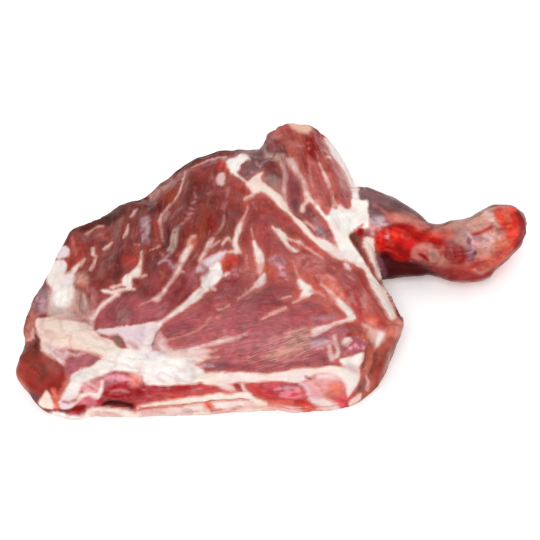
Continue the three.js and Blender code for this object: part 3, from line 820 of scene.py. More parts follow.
# elbow
meat("brick", 2.5, 1, (346, 326), (354, 323), (362, 325), (368, 332), (366, 338), (352, 334))
meat("ember", 3, 0.8, (352, 334), (364, 334), (371, 340), (362, 343), (354, 340))
meat("orange", 2.5, 0.7, (360, 336), (369, 336), (370, 342), (362, 342))
meat("mauve", 2.5, 0.95, (322, 333), (332, 328), (348, 327), (344, 336), (322, 339))
meat("violet", 2.5, 0.9, (311, 337), (320, 336), (320, 341), (312, 342))
skin("lilac", 2.5, 0.95, (310, 345, 6), (320, 343, 8), (332, 342, 8))
skin("pinkFlesh", 1.5, 0.8, (318, 349, 2), (325, 348, 2), (328, 346, 2))
meat("mauve", 3, 0.95, (340, 338), (352, 337), (364, 342), (363, 350), (350, 356), (342, 357), (338, 348))
# pale and pink flecks on the elbow: painted highlights of the wet surface
speck("candy", 3, 0.9, (340, 337), (364, 340), (362, 352), (342, 356))
speck("plum", 3, 0.8, (338, 338), (364, 342), (362, 354), (340, 357))
meat("magenta", 2.5, 0.5, (350, 341), (360, 342), (356, 348), (350, 346))
skin("blush", 1.5, 1, (341, 341), (348, 337), (353, 340), (346, 345))
skin("candy", 1.2, 1, (351, 348, 3), (356, 345, 3), (360, 347, 2))
skin("pinkFlesh", 1.2, 0.8, (345, 354, 2), (348, 356, 2))
meat("soot", 1.5, 0.7, (336, 339, 2), (338, 342, 3))
fat("paleSkin", 2, 0.85, (334, 337, 4), (336, 343, 5), (338, 350, 5), (337, 356, 4))
fat("lilacFat", 2, 0.9, (329, 346, 3), (330, 352, 5), (332, 359, 5))
fat("whiteFat", 1.8, 1, (340, 359), (348, 357), (358, 354), (364, 353), (362, 362), (356, 369), (344, 366))
fat("lilac", 2, 0.5, (349, 364, 4), (357, 368, 4))
fat("blush", 5, 0.75, (366, 327), (374, 329), (384, 330), (385, 336), (380, 344), (374, 344))
fat("whiteFat", 3, 0.8, (376, 332, 3), (380, 335, 7), (378, 341, 6), (376, 346, 3))
over("mauve", 1.6, 0.6, (378, 328, 3), (384, 329, 3))
fat("peach", 2, 0.7, (362, 324, 3), (368, 327, 4), (372, 333, 4))

# wall of the right-hand end
meat("rust", 2.5, 1, (386, 322), (398, 312), (404, 320), (402, 332), (394, 348), (391, 368), (372, 392),
    (350, 404), (348, 400), (358, 390), (364, 364), (368, 344), (380, 344))
meat("pinkFlesh", 4, 0.55, (394, 312), (403, 316), (402, 330), (394, 336))
meat("salmon", 3, 0.8, (390, 322), (398, 320), (394, 332), (388, 340), (384, 346))
meat("salmon", 2, 0.6, (374, 346, 3), (372, 356, 3), (369, 366, 3), (366, 374, 2))
meat("umber", 2, 0.9, (366, 350, 2), (364, 362, 3), (363, 370, 3))
meat("umber", 2, 0.85, (375, 354, 4), (374, 364, 4), (371, 373, 4), (367, 377, 3))
meat("stripBrown", 3, 0.8, (384, 350), (390, 350), (388, 366), (380, 370), (380, 358))
meat("wine", 3, 0.7, (378, 362), (384, 364), (382, 378), (374, 384), (374, 372))
meat("umber", 2.5, 0.9, (362, 378), (366, 378), (366, 390), (360, 394), (357, 392))
# painted shade along the wall's outer rim, where it turns away
meat("soot", 1.5, 0.7, (397, 340, 1.5), (394, 345, 2), (391, 358, 2), (390, 368, 2), (382, 380, 2),
    (372, 390, 2))
# painted shadow down the slit along the butter fat
meat("umber", 1.5, 0.9, (372, 273, 2), (378, 283, 2.5), (385, 293, 2.5), (391, 303, 2.5), (397, 312, 3),
    (401, 320, 3))
fat("blush", 1.5, 0.7, (366, 377, 2.5), (368, 383, 3), (367, 390, 3))
fat("blush", 1.8, 0.9, (348, 401), (354, 396), (361, 394), (360, 400), (350, 406))
fat("butter", 1.8, 1, (367, 270, 4), (370, 277, 7.5), (374.5, 284, 10), (379, 291, 10), (383.5, 300, 8.5),
    (388.5, 309, 8.5), (392, 317, 7.5))
fat("cream", 1.6, 1, (358, 264, 4), (364, 267, 4), (367, 273, 3))

# flap
meat("flap", 3, 1, (286, 126), (325, 136), (340, 158), (352, 184), (352, 204), (342, 210), (328, 216),
    (316, 204), (304, 178), (296, 160), (288, 150))
meat("brick", 4, 0.9, (268, 134), (276, 128), (292, 126), (302, 134), (300, 146), (286, 142), (270, 138))
meat("salmon", 4, 0.35, (272, 130), (284, 128), (286, 139), (274, 141))
# dark tones under the knob: painted shade where it bulges over the edge
meat("dusk", 2, 0.9, (266, 136, 3), (268, 142, 4), (267, 148, 4))
meat("dusk", 3, 0.95, (272, 141), (284, 141), (287, 148), (283, 154), (276, 153), (270, 148))
meat("plum", 3, 0.8, (265, 138), (275, 139), (277, 148), (268, 150))
meat("rust", 3, 0.8, (284, 140), (292, 142), (297, 152), (292, 156), (287, 150))
meat("wine", 3.5, 0.95, (301, 134), (313, 131), (322, 136), (326, 150), (321, 162), (310, 157), (302, 147))
meat("bloodDark", 3, 0.7, (306, 137), (318, 136), (321, 149), (316, 157), (308, 149))
meat("rust", 3, 0.6, (296, 134), (304, 134), (304, 146), (298, 142))
meat("brick", 4, 0.6, (320, 148), (330, 152), (340, 166), (334, 170), (322, 160))
meat("brick", 4, 0.5, (300, 160), (308, 164), (308, 178), (302, 172))
meat("wine", 3, 0.4, (312, 168, 4), (316, 180, 4), (322, 194, 4))
meat("salmon", 4, 0.35, (310, 178), (318, 186), (330, 208), (326, 212), (316, 198))
meat("rose", 4, 0.5, (336, 168), (350, 190), (348, 206), (340, 196))
meat("crimson", 4, 0.35, (334, 190), (340, 198), (346, 206), (338, 202))
# inner side of the flap
meat("maroon", 3, 0.9, (250, 151), (266, 152), (270, 160), (262, 164), (250, 160))
meat("slate", 3, 0.8, (242, 166), (248, 161), (256, 161), (262, 168), (262, 172), (252, 174), (244, 180))
meat("maroon", 2.5, 1, (264, 166), (271, 161), (279, 163), (283, 172), (281, 178), (270, 177), (264, 173))
meat("wine", 3, 0.4, (268, 164), (278, 166), (278, 174), (270, 173))
meat("greySkin", 3, 0.85, (262, 178), (272, 176), (282, 180), (282, 191), (278, 194), (270, 189),
    (264, 183))
meat("dusk", 2.5, 0.5, (262, 180, 2), (270, 188, 3), (278, 193, 3))
meat("plum", 2.5, 1, (285, 169), (293, 173), (301, 181), (306, 190), (308, 200), (305, 210), (310, 222),
    (298, 221), (290, 212), (287, 200), (285, 186))
meat("wine", 4, 0.2, (290, 182), (298, 184), (302, 196), (292, 196))
meat("dusk", 3, 0.7, (289, 202), (302, 208), (306, 221), (297, 219))
meat("plum", 2.5, 0.95, (306, 204), (312, 206), (320, 216), (328, 228), (333, 238), (326, 240), (316, 230),
    (308, 216))
fat("blush", 2, 0.7, (305, 222, 3), (311, 226, 4), (315, 230, 3))
skin("rosePink", 3, 0.7, (311, 214), (318, 216), (324, 226), (316, 226))
meat("rust", 2.5, 0.7, (314, 210, 4), (320, 218, 5), (326, 228, 4))
meat("flap", 2.5, 0.6, (312, 206, 4), (320, 216, 4), (328, 228, 4))
skin("lilac", 2, 0.5, (247, 176, 4), (252, 172, 3))
skin("lilac", 1.5, 0.6, (256, 162, 2), (260, 166, 2.5), (262, 170, 2))
skin("lavender", 3, 0.9, (314, 226), (322, 228), (324, 236), (319, 238))
skin("sageSkin", 3, 0.8, (268, 157, 5), (276, 157, 6), (283, 156, 5))
skin("lavender", 2.5, 0.7, (266, 152, 3), (268, 157, 4))
skin("lilac", 1.5, 0.5, (262, 163, 2), (266, 161, 2))
skin("rosePink", 1.2, 0.7, (316, 152, 2), (318, 158, 2))
skin("rosePink", 1.2, 0.6, (308, 143, 2), (309, 149, 2))
skin("rosePink", 1.2, 0.6, (298, 146, 2), (301, 146, 2))
for tone, strength in (("wine", 0.8), ("salmon", 0.25)):
    speck(tone, 5, strength, (268, 132), (290, 126), (322, 138), (320, 158), (290, 152), (270, 148))
speck("bloodDark", 4, 0.8, (302, 134), (320, 136), (322, 156), (306, 154))
speck("wine", 8, 0.5, (296, 150), (330, 150), (352, 188), (344, 208), (326, 212), (304, 176))
# skin and fat lines of the flap
fat("apricot", 2.2, 0.9, (287, 121), (296, 119), (305, 122), (312, 128), (308, 133), (302, 133), (295, 130),
    (289, 126))
fat("rosePink", 1.4, 0.6, (309, 160, 1.5), (309, 168, 2), (311, 178, 2), (313, 188, 1))
fat("blush", 1.5, 0.85, (319, 163, 1.5), (323, 172, 2.5), (327, 180, 3.5), (329, 187, 2.5))
fat("peach", 1.4, 0.8, (332, 192, 1.5), (333, 198, 2), (336, 206, 2))
fat("blush", 1.3, 0.9, (327, 157, 2.5), (330, 158, 2.5))
fat("paleSkin", 3, 0.75, (288, 158), (294, 158), (298, 166), (297, 171), (291, 168), (286, 162))
fat("paleSkin", 2.4, 0.75, (294, 168, 5), (299, 175, 5), (303, 181, 6), (305, 188, 5), (307, 194, 5))
fat("blush", 1.8, 0.9, (306, 194, 5), (309, 199, 5), (314, 203, 4), (318, 208, 3))
fat("lilac", 2, 0.7, (317, 201, 3), (319, 206, 3))
fat("blush", 1.6, 0.9, (308, 200, 4), (304, 205, 4.5), (302, 211, 4))
fat("paleSkin", 2, 0.7, (280, 160, 4), (283, 167, 4), (285, 175, 4.5), (284, 183, 4), (284, 191, 4))
fat("lilac", 2.2, 0.8, (284, 190, 4.5), (285, 198, 4.5), (286, 204, 3))
# the tendon that starts under the flap
fat("cream", 1.8, 1, (246, 184), (252, 178), (260, 173), (263, 173), (261, 179), (266, 184), (273, 190),
    (281, 195), (284, 201), (288, 207), (292, 213), (297, 219), (303, 222), (308, 228), (315, 236),
    (323, 240), (332, 243), (340, 248), (348, 256), (358, 262), (368, 268), (364, 268), (354, 264),
    (344, 261), (334, 256), (324, 249), (312, 240), (304, 231), (297, 223), (288, 214), (280, 208),
    (272, 199), (267, 194), (260, 192), (254, 193), (250, 190))
fat("blush", 2.5, 0.6, (250, 186), (258, 178), (262, 184), (256, 190))
fat("cream", 2, 1, (320, 242, 5), (326, 246, 9), (336, 253, 8))
fat("blush", 1.6, 0.8, (245, 199, 3), (250, 196, 4), (255, 193, 3))
# white field at the elbow side and the pale rim of the flap, in the whitest fat tone: painted light that
# lifts fat on sides turned from the lamp
fat("snow", 1.8, 1, (318, 206), (322, 211), (326, 216), (329, 214), (331, 209), (333, 204), (336, 208),
    (340, 204), (344, 208), (348, 209), (351, 204), (352, 192), (357, 190), (359, 198), (361, 212),
    (368, 214), (369, 224), (364, 228), (357, 230), (351, 233), (349, 237), (353, 245), (360, 255),
    (366, 265), (356, 262), (345, 258), (338, 247), (331, 232), (324, 219), (316, 208))
fat("snow", 1.8, 1, (325, 139, 4), (332, 148, 6.5), (339, 158, 8.5), (346, 169, 8), (351, 179, 8),
    (355, 189, 9))
fat("snow", 1.6, 1, (353, 196), (360, 200), (368, 201), (368, 212), (369, 226), (356, 230), (351, 215))
fat("lilacFat", 3, 0.35, (330, 222), (338, 222), (346, 240), (338, 244))
# umber and dark brown strokes here: painted shadow in the slit between the blade and the foreshank
over("umber", 1.5, 1, (350, 235), (357, 232), (361, 239), (364, 249), (368, 259), (372, 266), (371, 267),
    (365, 261), (358, 250), (352, 241))
over("bloodDark", 1.4, 1, (357, 231), (361, 228), (365, 230), (364, 234), (361, 238), (358, 235))
over("blood", 1.2, 0.6, (354, 231, 2), (358, 229, 3), (363, 225, 2))
over("umber", 1.2, 0.85, (371, 266, 2.5), (378, 279, 2), (384.5, 289, 1.5), (389.5, 299, 1.5),
    (395.5, 309, 1.5), (398, 316, 2.5))
over("soot", 1.2, 0.75, (358, 243, 2), (364, 254, 3), (370, 264, 3), (376, 275, 2.5))
fat("cream", 1.8, 1, (363, 239), (369, 237), (374, 241), (375, 252), (376, 261), (380, 271), (383, 283),
    (378, 276), (373, 267), (368, 257), (364, 247))

# foreshank
meat("slate", 2.5, 1, (357, 187), (374, 192), (374, 208), (372, 220), (368, 220), (366, 206), (360, 200))
meat("slate", 2.5, 0.85, (374, 194), (390, 198), (408, 208), (420, 218), (412, 218), (398, 212), (384, 206),
    (374, 202))
meat("slate", 3, 0.8, (370, 208), (382, 214), (384, 220), (372, 222))
skin("lilacFat", 4, 0.6, (369, 219), (384, 217), (391, 221), (386, 228), (372, 229))
skin("rosePink", 2, 0.5, (374, 205, 2), (380, 209, 3), (388, 214, 3))
meat("salmon", 3, 0.95, (384, 216), (396, 213), (412, 216), (428, 224), (432, 227), (420, 230), (404, 223),
    (390, 224))
meat("tan", 3, 0.4, (396, 217, 4), (410, 219, 4))
meat("greySkin", 3, 0.5, (404, 212, 4), (414, 216, 4))
meat("dusk", 3, 0.4, (394, 203, 6), (406, 210, 6))
meat("umber", 2, 0.8, (420, 217, 3), (428, 223, 3), (433, 227, 2))
# the bleeding cut
meat("blood", 3, 1, (375, 236), (384, 228), (396, 224), (412, 225), (420, 232), (434, 234), (448, 236),
    (450, 243), (444, 247), (430, 243), (418, 244), (411, 250), (409, 260), (396, 261), (384, 256),
    (376, 248))
# pink flecks and coral spots in the blood: painted highlights of its wet surface
skin("pinkFlesh", 2, 0.9, (368, 226, 4), (374, 227, 6), (380, 227, 4))
skin("pinkFlesh", 2, 0.7, (367, 231, 4), (372, 234, 5))
meat("coral", 2.5, 0.45, (379, 232, 4), (381, 238, 3))
meat("coral", 2.5, 0.7, (392, 233, 4), (396, 236, 4))
meat("coral", 2.5, 0.8, (402, 234), (409, 234), (408, 239), (402, 238))
meat("bloodDark", 2.5, 0.9, (388, 228, 3), (398, 226, 4), (410, 228, 4))
meat("bloodDark", 2.5, 0.9, (417, 232, 3), (424, 232, 4), (431, 230, 2))
meat("bloodDark", 3, 0.85, (386, 246), (400, 244), (410, 250), (408, 260), (392, 260), (382, 254))
meat("bloodDark", 2.5, 0.85, (428, 241, 3), (438, 243, 5), (446, 242, 5))
skin("pinkFlesh", 1.8, 0.75, (387, 230, 2), (387, 236, 4), (388, 241, 3))
meat("ember", 3, 0.8, (442, 228), (454, 228), (456, 238), (446, 240))
meat("salmon", 2.5, 0.7, (432, 229), (446, 226), (448, 236), (440, 238), (428, 234))
meat("coral", 2, 0.6, (428, 233, 3), (436, 235, 4), (442, 236, 2))
# tan oval and the bare bone
meat("bone", 4, 1, (436, 227), (452, 221), (470, 217), (480, 214), (490, 208), (496, 206), (500, 216),
    (506, 230), (508, 246), (500, 262), (478, 268), (440, 268), (438, 262), (440, 250), (450, 244))
meat("greySkin", 4, 0.5, (450, 224), (466, 219), (467, 240), (452, 246))
meat("ember", 3, 0.6, (438, 229), (452, 230), (452, 240), (442, 242))
meat("tan", 4, 0.6, (468, 219), (484, 213), (492, 216), (488, 226), (478, 230), (470, 232))
# pink flesh here: painted highlight on the bare bone
skin("pinkFlesh", 3, 0.7, (484, 212, 4), (490, 216, 5), (496, 222, 4))
meat("wine", 4, 0.7, (446, 244), (456, 244), (468, 250), (466, 263), (452, 264), (446, 258))
meat("bloodDark", 2, 0.75, (441, 254, 3), (444, 252, 5), (446, 256, 3))
meat("wine", 2, 0.85, (450, 250, 3), (452, 256, 5), (452, 262, 3))
meat("wine", 2, 0.8, (457, 250, 3), (458, 258, 3))
meat("bloodDark", 2.5, 0.8, (461, 252, 5), (462, 261, 5))
meat("rust", 3, 0.7, (442, 262), (460, 264), (462, 268), (444, 268))
skin("lilac", 2.5, 0.6, (464, 232), (474, 236), (476, 246), (466, 246))
meat("violet", 2.5, 0.95, (466, 248), (476, 247), (476, 256), (470, 264), (465, 258))
skin("lilac", 1.4, 0.9, (468, 245, 2), (472, 246, 2.5), (476, 244, 3))
meat("bloodBlack", 1.5, 0.8, (476, 250, 2), (475, 254, 2.5))
meat("tan", 3, 0.6, (480, 236), (492, 233), (500, 234), (498, 244), (490, 250), (480, 248))
skin("lilac", 3, 0.55, (478, 240, 4), (486, 242, 5), (488, 248, 4))
meat("salmon", 3, 0.7, (500, 234), (508, 238), (506, 248), (498, 246))
# pale pink patches: painted highlights on the bone
skin("pinkFlesh", 3, 0.7, (484, 214), (490, 211), (496, 217), (498, 225), (490, 226), (484, 222))
skin("pinkFlesh", 3, 0.5, (484, 238), (494, 235), (500, 238), (498, 246), (488, 250))
speck("wine", 6, 0.95, (436, 240), (470, 242), (470, 264), (436, 262))
speck("violet", 6, 0.6, (442, 240), (478, 236), (480, 262), (442, 264))
speck("lilac", 5, 0.5, (462, 228), (486, 232), (486, 252), (464, 254))
meat("wine", 4, 0.7, (446, 244), (468, 250), (468, 262), (452, 263))
speck("pinkFlesh", 6, 0.35, (462, 220), (498, 212), (500, 246), (470, 250))
speck("bloodDark", 4, 0.9, (446, 246), (468, 248), (468, 264), (450, 264))
for tone, strength in (("bloodDark", 0.8), ("coral", 0.4)):
    speck(tone, 6, strength, (376, 228), (450, 232), (448, 248), (410, 262), (380, 256))
over("salmon", 2.5, 0.8, (412, 252), (416, 246), (424, 243), (434, 246), (439, 252), (439, 260), (432, 264),
    (422, 262), (414, 258))
over("tan", 2.5, 0.6, (430, 251), (437, 251), (438, 260), (430, 261))
over("bloodDark", 1.4, 1, (420, 254, 3), (424, 257, 5), (428, 260, 3))
meat("bloodDark", 3, 0.8, (408, 230, 5), (416, 236, 7), (420, 240, 5))
over("crimson", 1.5, 0.9, (471, 235, 2.5), (479, 233, 3), (485, 231, 3), (490, 228, 3), (495, 225, 2))
over("wine", 1, 0.9, (446, 246, 2), (447, 252, 3), (446, 258, 2))
over("bloodDark", 1, 0.9, (453, 248, 2), (455, 255, 3), (454, 262, 2))
over("bloodDark", 1, 0.9, (461, 247, 2), (463, 254, 3), (463, 262, 2))
over("violet", 1, 0.9, (468, 238, 2), (470, 246, 2), (469, 254, 3), (470, 261, 2))
skin("paleSkin", 1.2, 0.5, (466, 231, 2), (470, 236, 2.5), (473, 242, 2))
# knuckle
meat("coral", 3.5, 1, (496, 206), (512, 206), (520, 212), (526, 226), (524, 236), (516, 248), (510, 250),
    (508, 240), (504, 228), (500, 216))
meat("blood", 2.5, 0.85, (512, 212), (519, 213), (522, 226), (516, 228), (511, 222))
meat("orange", 2.5, 0.6, (502, 211, 4), (508, 216, 5), (508, 224, 5))
meat("coral", 2.5, 0.8, (496, 213, 5), (499, 219, 7), (500, 225, 5))
meat("wine", 1.6, 0.9, (497, 229, 2), (502, 229, 3), (506, 228, 2))
meat("blood", 2.5, 0.7, (508, 238, 4), (514, 236, 4))
# painted highlight
skin("pinkFlesh", 2, 0.7, (494, 233, 4), (500, 235, 4))
meat("orange", 3, 0.7, (497, 240), (508, 240), (506, 252), (496, 252))
meat("ember", 3.5, 0.95, (496, 248), (508, 248), (508, 256), (496, 266), (488, 270), (484, 262), (492, 256))
meat("coral", 2.5, 0.5, (504, 246, 3), (508, 250, 4), (500, 258, 4), (494, 262, 3))
meat("ember", 4, 0.8, (464, 264), (484, 260), (488, 270), (476, 276), (462, 276), (456, 270))
meat("orange", 2.5, 0.5, (484, 268, 4), (490, 266, 4))
skin("pinkFlesh", 2, 0.5, (474, 270, 2), (482, 274, 3), (488, 271, 2))
meat("wine", 2, 0.7, (468, 268, 2), (478, 264, 3), (486, 262, 2))
speck("blood", 6, 0.85, (496, 206), (524, 210), (524, 240), (504, 236))
speck("orange", 6, 0.5, (494, 238), (518, 234), (506, 260), (484, 274))
# apricot, blush and pale patches: painted highlights on the knuckle
skin("apricot", 3, 0.7, (482, 216, 5), (492, 218, 5), (497, 226, 4))
skin("blush", 2, 0.8, (486, 213, 3), (491, 217, 4), (495, 224, 3))
skin("blush", 2, 0.5, (494, 234, 3), (498, 239, 3))
skin("paleSkin", 2, 0.5, (486, 236, 4), (492, 240, 4))
speck("wine", 6, 0.35, (494, 206), (526, 210), (520, 246), (490, 276), (470, 276))
# painted shade along the lower edge, down the knuckle's right rim and along the top outline
meat("bloodBlack", 3, 1, (376, 258), (386, 252), (396, 260), (412, 262), (430, 268), (450, 272), (456, 280),
    (430, 276), (400, 278), (380, 280))
meat("wine", 3, 0.9, (428, 266), (450, 268), (470, 272), (478, 280), (460, 282), (440, 276))
meat("violet", 2.5, 0.6, (377, 256, 5), (380, 264, 7), (384, 274, 5))
meat("bloodDark", 2, 0.8, (470, 279, 4), (482, 277, 4), (490, 273, 3))
meat("bloodDark", 3, 0.9, (517, 214, 4), (522, 226, 6), (521, 236, 6), (515, 246, 5))
meat("bloodBlack", 1.6, 0.8, (518, 211, 2), (523, 220, 3), (526, 230, 2.5), (522, 240, 2.5), (514, 250, 2))
meat("umber", 1.4, 0.7, (438, 227, 2), (452, 221, 2), (466, 218, 2), (480, 214, 2), (486, 208, 2),
    (496, 205, 2))

# straight cut at the front
meat("crimson", 3, 1, (98, 378), (140, 372), (240, 380), (346, 374), (348, 406), (300, 412), (240, 412),
    (130, 412), (100, 408), (96, 400))
meat("mauve", 3, 1, (102, 374), (112, 371), (124, 372), (124, 382), (112, 386), (103, 389))
skin("candy", 2.5, 0.9, (104, 378), (110, 374), (120, 374), (132, 378), (128, 383), (112, 382))
meat("pinkFlesh", 3.5, 0.9, (129, 375), (142, 374), (143, 383), (136, 387), (129, 384))
meat("melon", 2.5, 0.8, (133, 378, 4), (137, 381, 5), (134, 385, 4))
meat("wine", 4, 0.7, (104, 388), (140, 389), (140, 402), (104, 402))
skin("rosePink", 1.5, 0.6, (112, 392, 2), (120, 390, 3), (128, 392, 2))
skin("rosePink", 1.5, 0.5, (108, 398, 2), (116, 400, 3))
skin("rosePink", 1.5, 0.5, (126, 398, 3), (134, 396, 2))
skin("rosePink", 1.5, 0.4, (146, 392, 2), (150, 398, 3))
meat("wine", 3, 0.5, (150, 388, 5), (170, 388, 6), (190, 388, 5))
meat("blood", 3, 0.55, (166, 396, 6), (186, 395, 6), (204, 391, 5), (216, 391, 4))
meat("rosePink", 2, 0.5, (192, 392, 3), (200, 389, 3))
meat("raspberry", 4, 0.8, (256, 382), (276, 381), (280, 387), (262, 389))
meat("blood", 3, 0.8, (250, 388), (262, 386), (272, 392), (268, 398), (254, 395))
meat("melon", 3, 0.8, (262, 401, 4), (276, 402, 5), (292, 402, 4))
meat("raspberry", 3, 0.6, (276, 392), (304, 390), (306, 398), (282, 399))
meat("scarlet", 2.5, 0.9, (296, 396), (308, 396), (316, 404), (312, 410), (303, 410), (297, 402))
meat("melon", 2.5, 0.9, (306, 407, 4), (316, 408, 3), (320, 405, 2))
skin("candy", 3, 0.5, (278, 388), (306, 386), (308, 398), (284, 398))
skin("lilac", 1.5, 0.9, (274, 391, 2), (280, 389, 3), (290, 388, 3), (304, 387, 3))
skin("violet", 2, 0.6, (276, 386, 2), (292, 385, 3), (300, 385, 2))
meat("raspberry", 3, 0.5, (264, 386), (277, 386), (277, 394), (264, 395))
# fat band above the cut
fat("cream", 1.8, 1, (200, 374), (220, 372), (246, 373), (266, 374), (286, 371), (300, 369), (314, 368),
    (322, 367), (330, 366), (340, 367), (352, 368), (360, 370), (359, 380), (354, 389), (348, 397),
    (346, 392), (345, 384), (340, 377), (328, 374), (316, 375), (308, 379), (300, 382), (288, 382),
    (270, 381), (250, 382), (226, 384), (204, 384))
fat("whiteFat", 2.5, 0.9, (336, 374), (346, 371), (355, 375), (357, 381), (352, 388), (348, 391),
    (345, 383))
fat("lilac", 2.5, 0.6, (346, 366, 4), (352, 369, 5), (358, 372, 4))
fat("blush", 2, 0.9, (216, 382), (226, 382), (236, 390), (226, 390), (219, 387))
fat("whiteFat", 1.5, 0.7, (221, 384, 3), (228, 387, 3))
fat("blush", 1.8, 0.85, (242, 384, 4), (245, 390, 4), (250, 396, 4))
over("wine", 1.5, 0.9, (234, 383), (240, 384), (242, 391), (238, 392))
fat("candy", 4, 0.85, (304, 381), (314, 376), (326, 374), (336, 376), (338, 384), (328, 392), (322, 399),
    (314, 401), (308, 394), (303, 386))
fat("lilacFat", 3, 0.8, (318, 376, 5), (328, 376, 6), (336, 379, 5))
fat("lilacFat", 3, 0.7, (300, 383, 4), (306, 386, 4), (309, 394, 4), (314, 400, 4))
over("magenta", 2.5, 0.45, (316, 383, 3), (320, 386, 4), (323, 391, 3))
speck("magenta", 4, 0.5, (308, 380), (328, 380), (324, 396), (312, 396))
fat("lilacFat", 2.5, 1, (310, 398, 4), (318, 402, 9), (329, 403, 8), (337, 405, 4))
fat("lilacFat", 1.8, 0.8, (326, 403, 3), (334, 406, 3), (342, 407, 2))
over("pinkFlesh", 4, 0.5, (322, 382), (340, 380), (346, 392), (330, 400))
over("melon", 4, 0.75, (328, 386), (336, 383), (342, 388), (343, 395), (335, 400), (328, 396))
over("orange", 2.5, 0.5, (330, 388), (337, 388), (336, 397), (330, 396))
over("raspberry", 2.5, 0.6, (336, 396), (342, 394), (349, 398), (346, 405), (338, 404), (332, 401))
over("plum", 1.5, 0.7, (306, 377, 3), (310, 379, 3))
for tone, strength in (("bloodDark", 0.85), ("rosePink", 0.22)):
    speck(tone, 5, strength, (104, 386), (240, 382), (240, 396), (104, 404))
speck("wine", 5, 0.6, (240, 382), (306, 384), (306, 400), (250, 398))
# thin sheet under the cut
fat("blush", 2, 1, (85, 413), (91, 407), (104, 406), (120, 408), (134, 411), (142, 409), (150, 408),
    (200, 402), (250, 399), (270, 405), (300, 408), (300, 420), (140, 424), (86, 420))
ledge("butter", 1.3, 1, (138, 407, 3), (146, 405, 3), (160, 403, 4.5), (180, 400, 5.5), (200, 398, 5.5),
    (212, 396, 6), (228, 395, 6.5), (242, 394, 6), (249, 395, 6), (256, 400, 5.5), (266, 404, 4))
over("rust", 1, 0.8, (140, 409, 3), (150, 408, 3), (162, 407, 2.5), (174, 406, 2), (188, 404, 1.5),
    (200, 403, 1))
over("tan", 1, 0.5, (202, 403, 2), (208, 400, 1.5), (226, 399, 1.5), (243, 399, 1.5))
ledge("blush", 1.3, 1, (146, 412, 3), (164, 411, 5), (186, 409, 6), (202, 408, 5))
fat("whiteFat", 1.8, 0.5, (188, 406, 3), (196, 408, 4), (202, 407, 3))
ledge("whiteFat", 1.6, 1, (214, 406, 7), (228, 404, 8), (242, 402, 5))
over("rosePink", 1, 0.7, (212, 410, 1.5), (228, 409, 2), (242, 406, 2))
fat("blush", 2, 0.9, (264, 407, 4), (284, 408, 5), (300, 409, 4))
fat("coral", 2, 0.3, (262, 405, 3), (280, 407, 4), (300, 408, 3))
# painted shade along the sheet's lower edge, where it turns under
fat("rosePink", 2, 0.95, (142, 413, 4), (166, 412, 5), (190, 411, 4))
over("greySkin", 1.2, 0.8, (142, 415, 3), (166, 414, 3), (190, 413, 3))
over("melon", 1.6, 0.9, (203, 404), (206, 400), (212, 403), (215, 407), (212, 409), (206, 408))
over("scarlet", 1, 0.8, (206, 403, 2), (209, 407, 2.5), (211, 409, 2))
ledge("cream", 1.3, 1, (85, 414, 3), (91, 409, 4), (104, 408, 4), (120, 410, 4), (132, 413, 4),
    (140, 414, 3))
# painted shadow in the gap under the cut
over("bloodBlack", 1.8, 1, (103, 404, 4), (111, 403, 7), (122, 404, 7), (132, 407, 5))
over("lilac", 1, 0.6, (96, 412, 1.5), (112, 412, 2), (128, 415, 1.5))
# the whitest fat tone on the foot's down-turned rim: painted light
fat("snow", 1.6, 1, (50, 412), (62, 413), (70, 415), (80, 415), (88, 413), (92, 424), (60, 424), (50, 418))
fat("lilacFat", 1.8, 1, (59, 400), (70, 402), (80, 399), (76, 405), (70, 409), (61, 409))
over("mauve", 1.5, 0.7, (64, 402, 2), (69, 403, 2))
over("dusk", 1, 0.8, (44, 409, 1), (54, 410, 1), (62, 411, 2), (68, 411, 1.5))
over("bloodDark", 1.6, 1, (71, 412), (75, 408), (81, 406), (86, 406), (84, 410), (77, 413))
over("raspberry", 1.2, 0.7, (70, 414, 1.5), (76, 414, 2), (83, 412, 1.5))
fat("shade", 1.3, 0.5, (96, 415, 2), (112, 415, 2), (128, 417, 2))
over("greySkin", 1, 0.25, (48, 412, 1), (58, 415, 1.5), (68, 418, 1.5), (80, 418, 1.5), (92, 416, 1))

# the strips lie left of a slanting line in the picture
stripSide = {"at": (190, 310), "lean": 0.45, "fade": (20, -40)}
inStrips = pixel[:, 0] - stripSide["lean"] * (stripSide["at"][1] - pixel[:, 1]) - stripSide["at"][0]
inStrips = ramp(*stripSide["fade"], inStrips)

# how strongly the fibres show: strength, softness, outline; where it is strongest, the pale threads are
# partly painted highlights along the fibres
fibrous = [
    (0.2, 12, bandOutline),
    (1.0, 10, [(250, 350), (280, 332), (318, 322), (330, 336), (318, 352), (290, 366), (256, 368)]),
    (0.15, 10, [(290, 132), (322, 138), (350, 190), (340, 208), (326, 214), (300, 170)]),
    (0.1, 14, [(250, 196), (300, 226), (380, 300), (330, 320), (280, 300), (250, 250)]),
]
threads = np.zeros(pointCount)
for strength, soft, points in fibrous:
    ids, far = distanceTo(points, soft)
    threads[ids] = np.maximum(threads[ids], strength * ramp(soft, -soft, far))

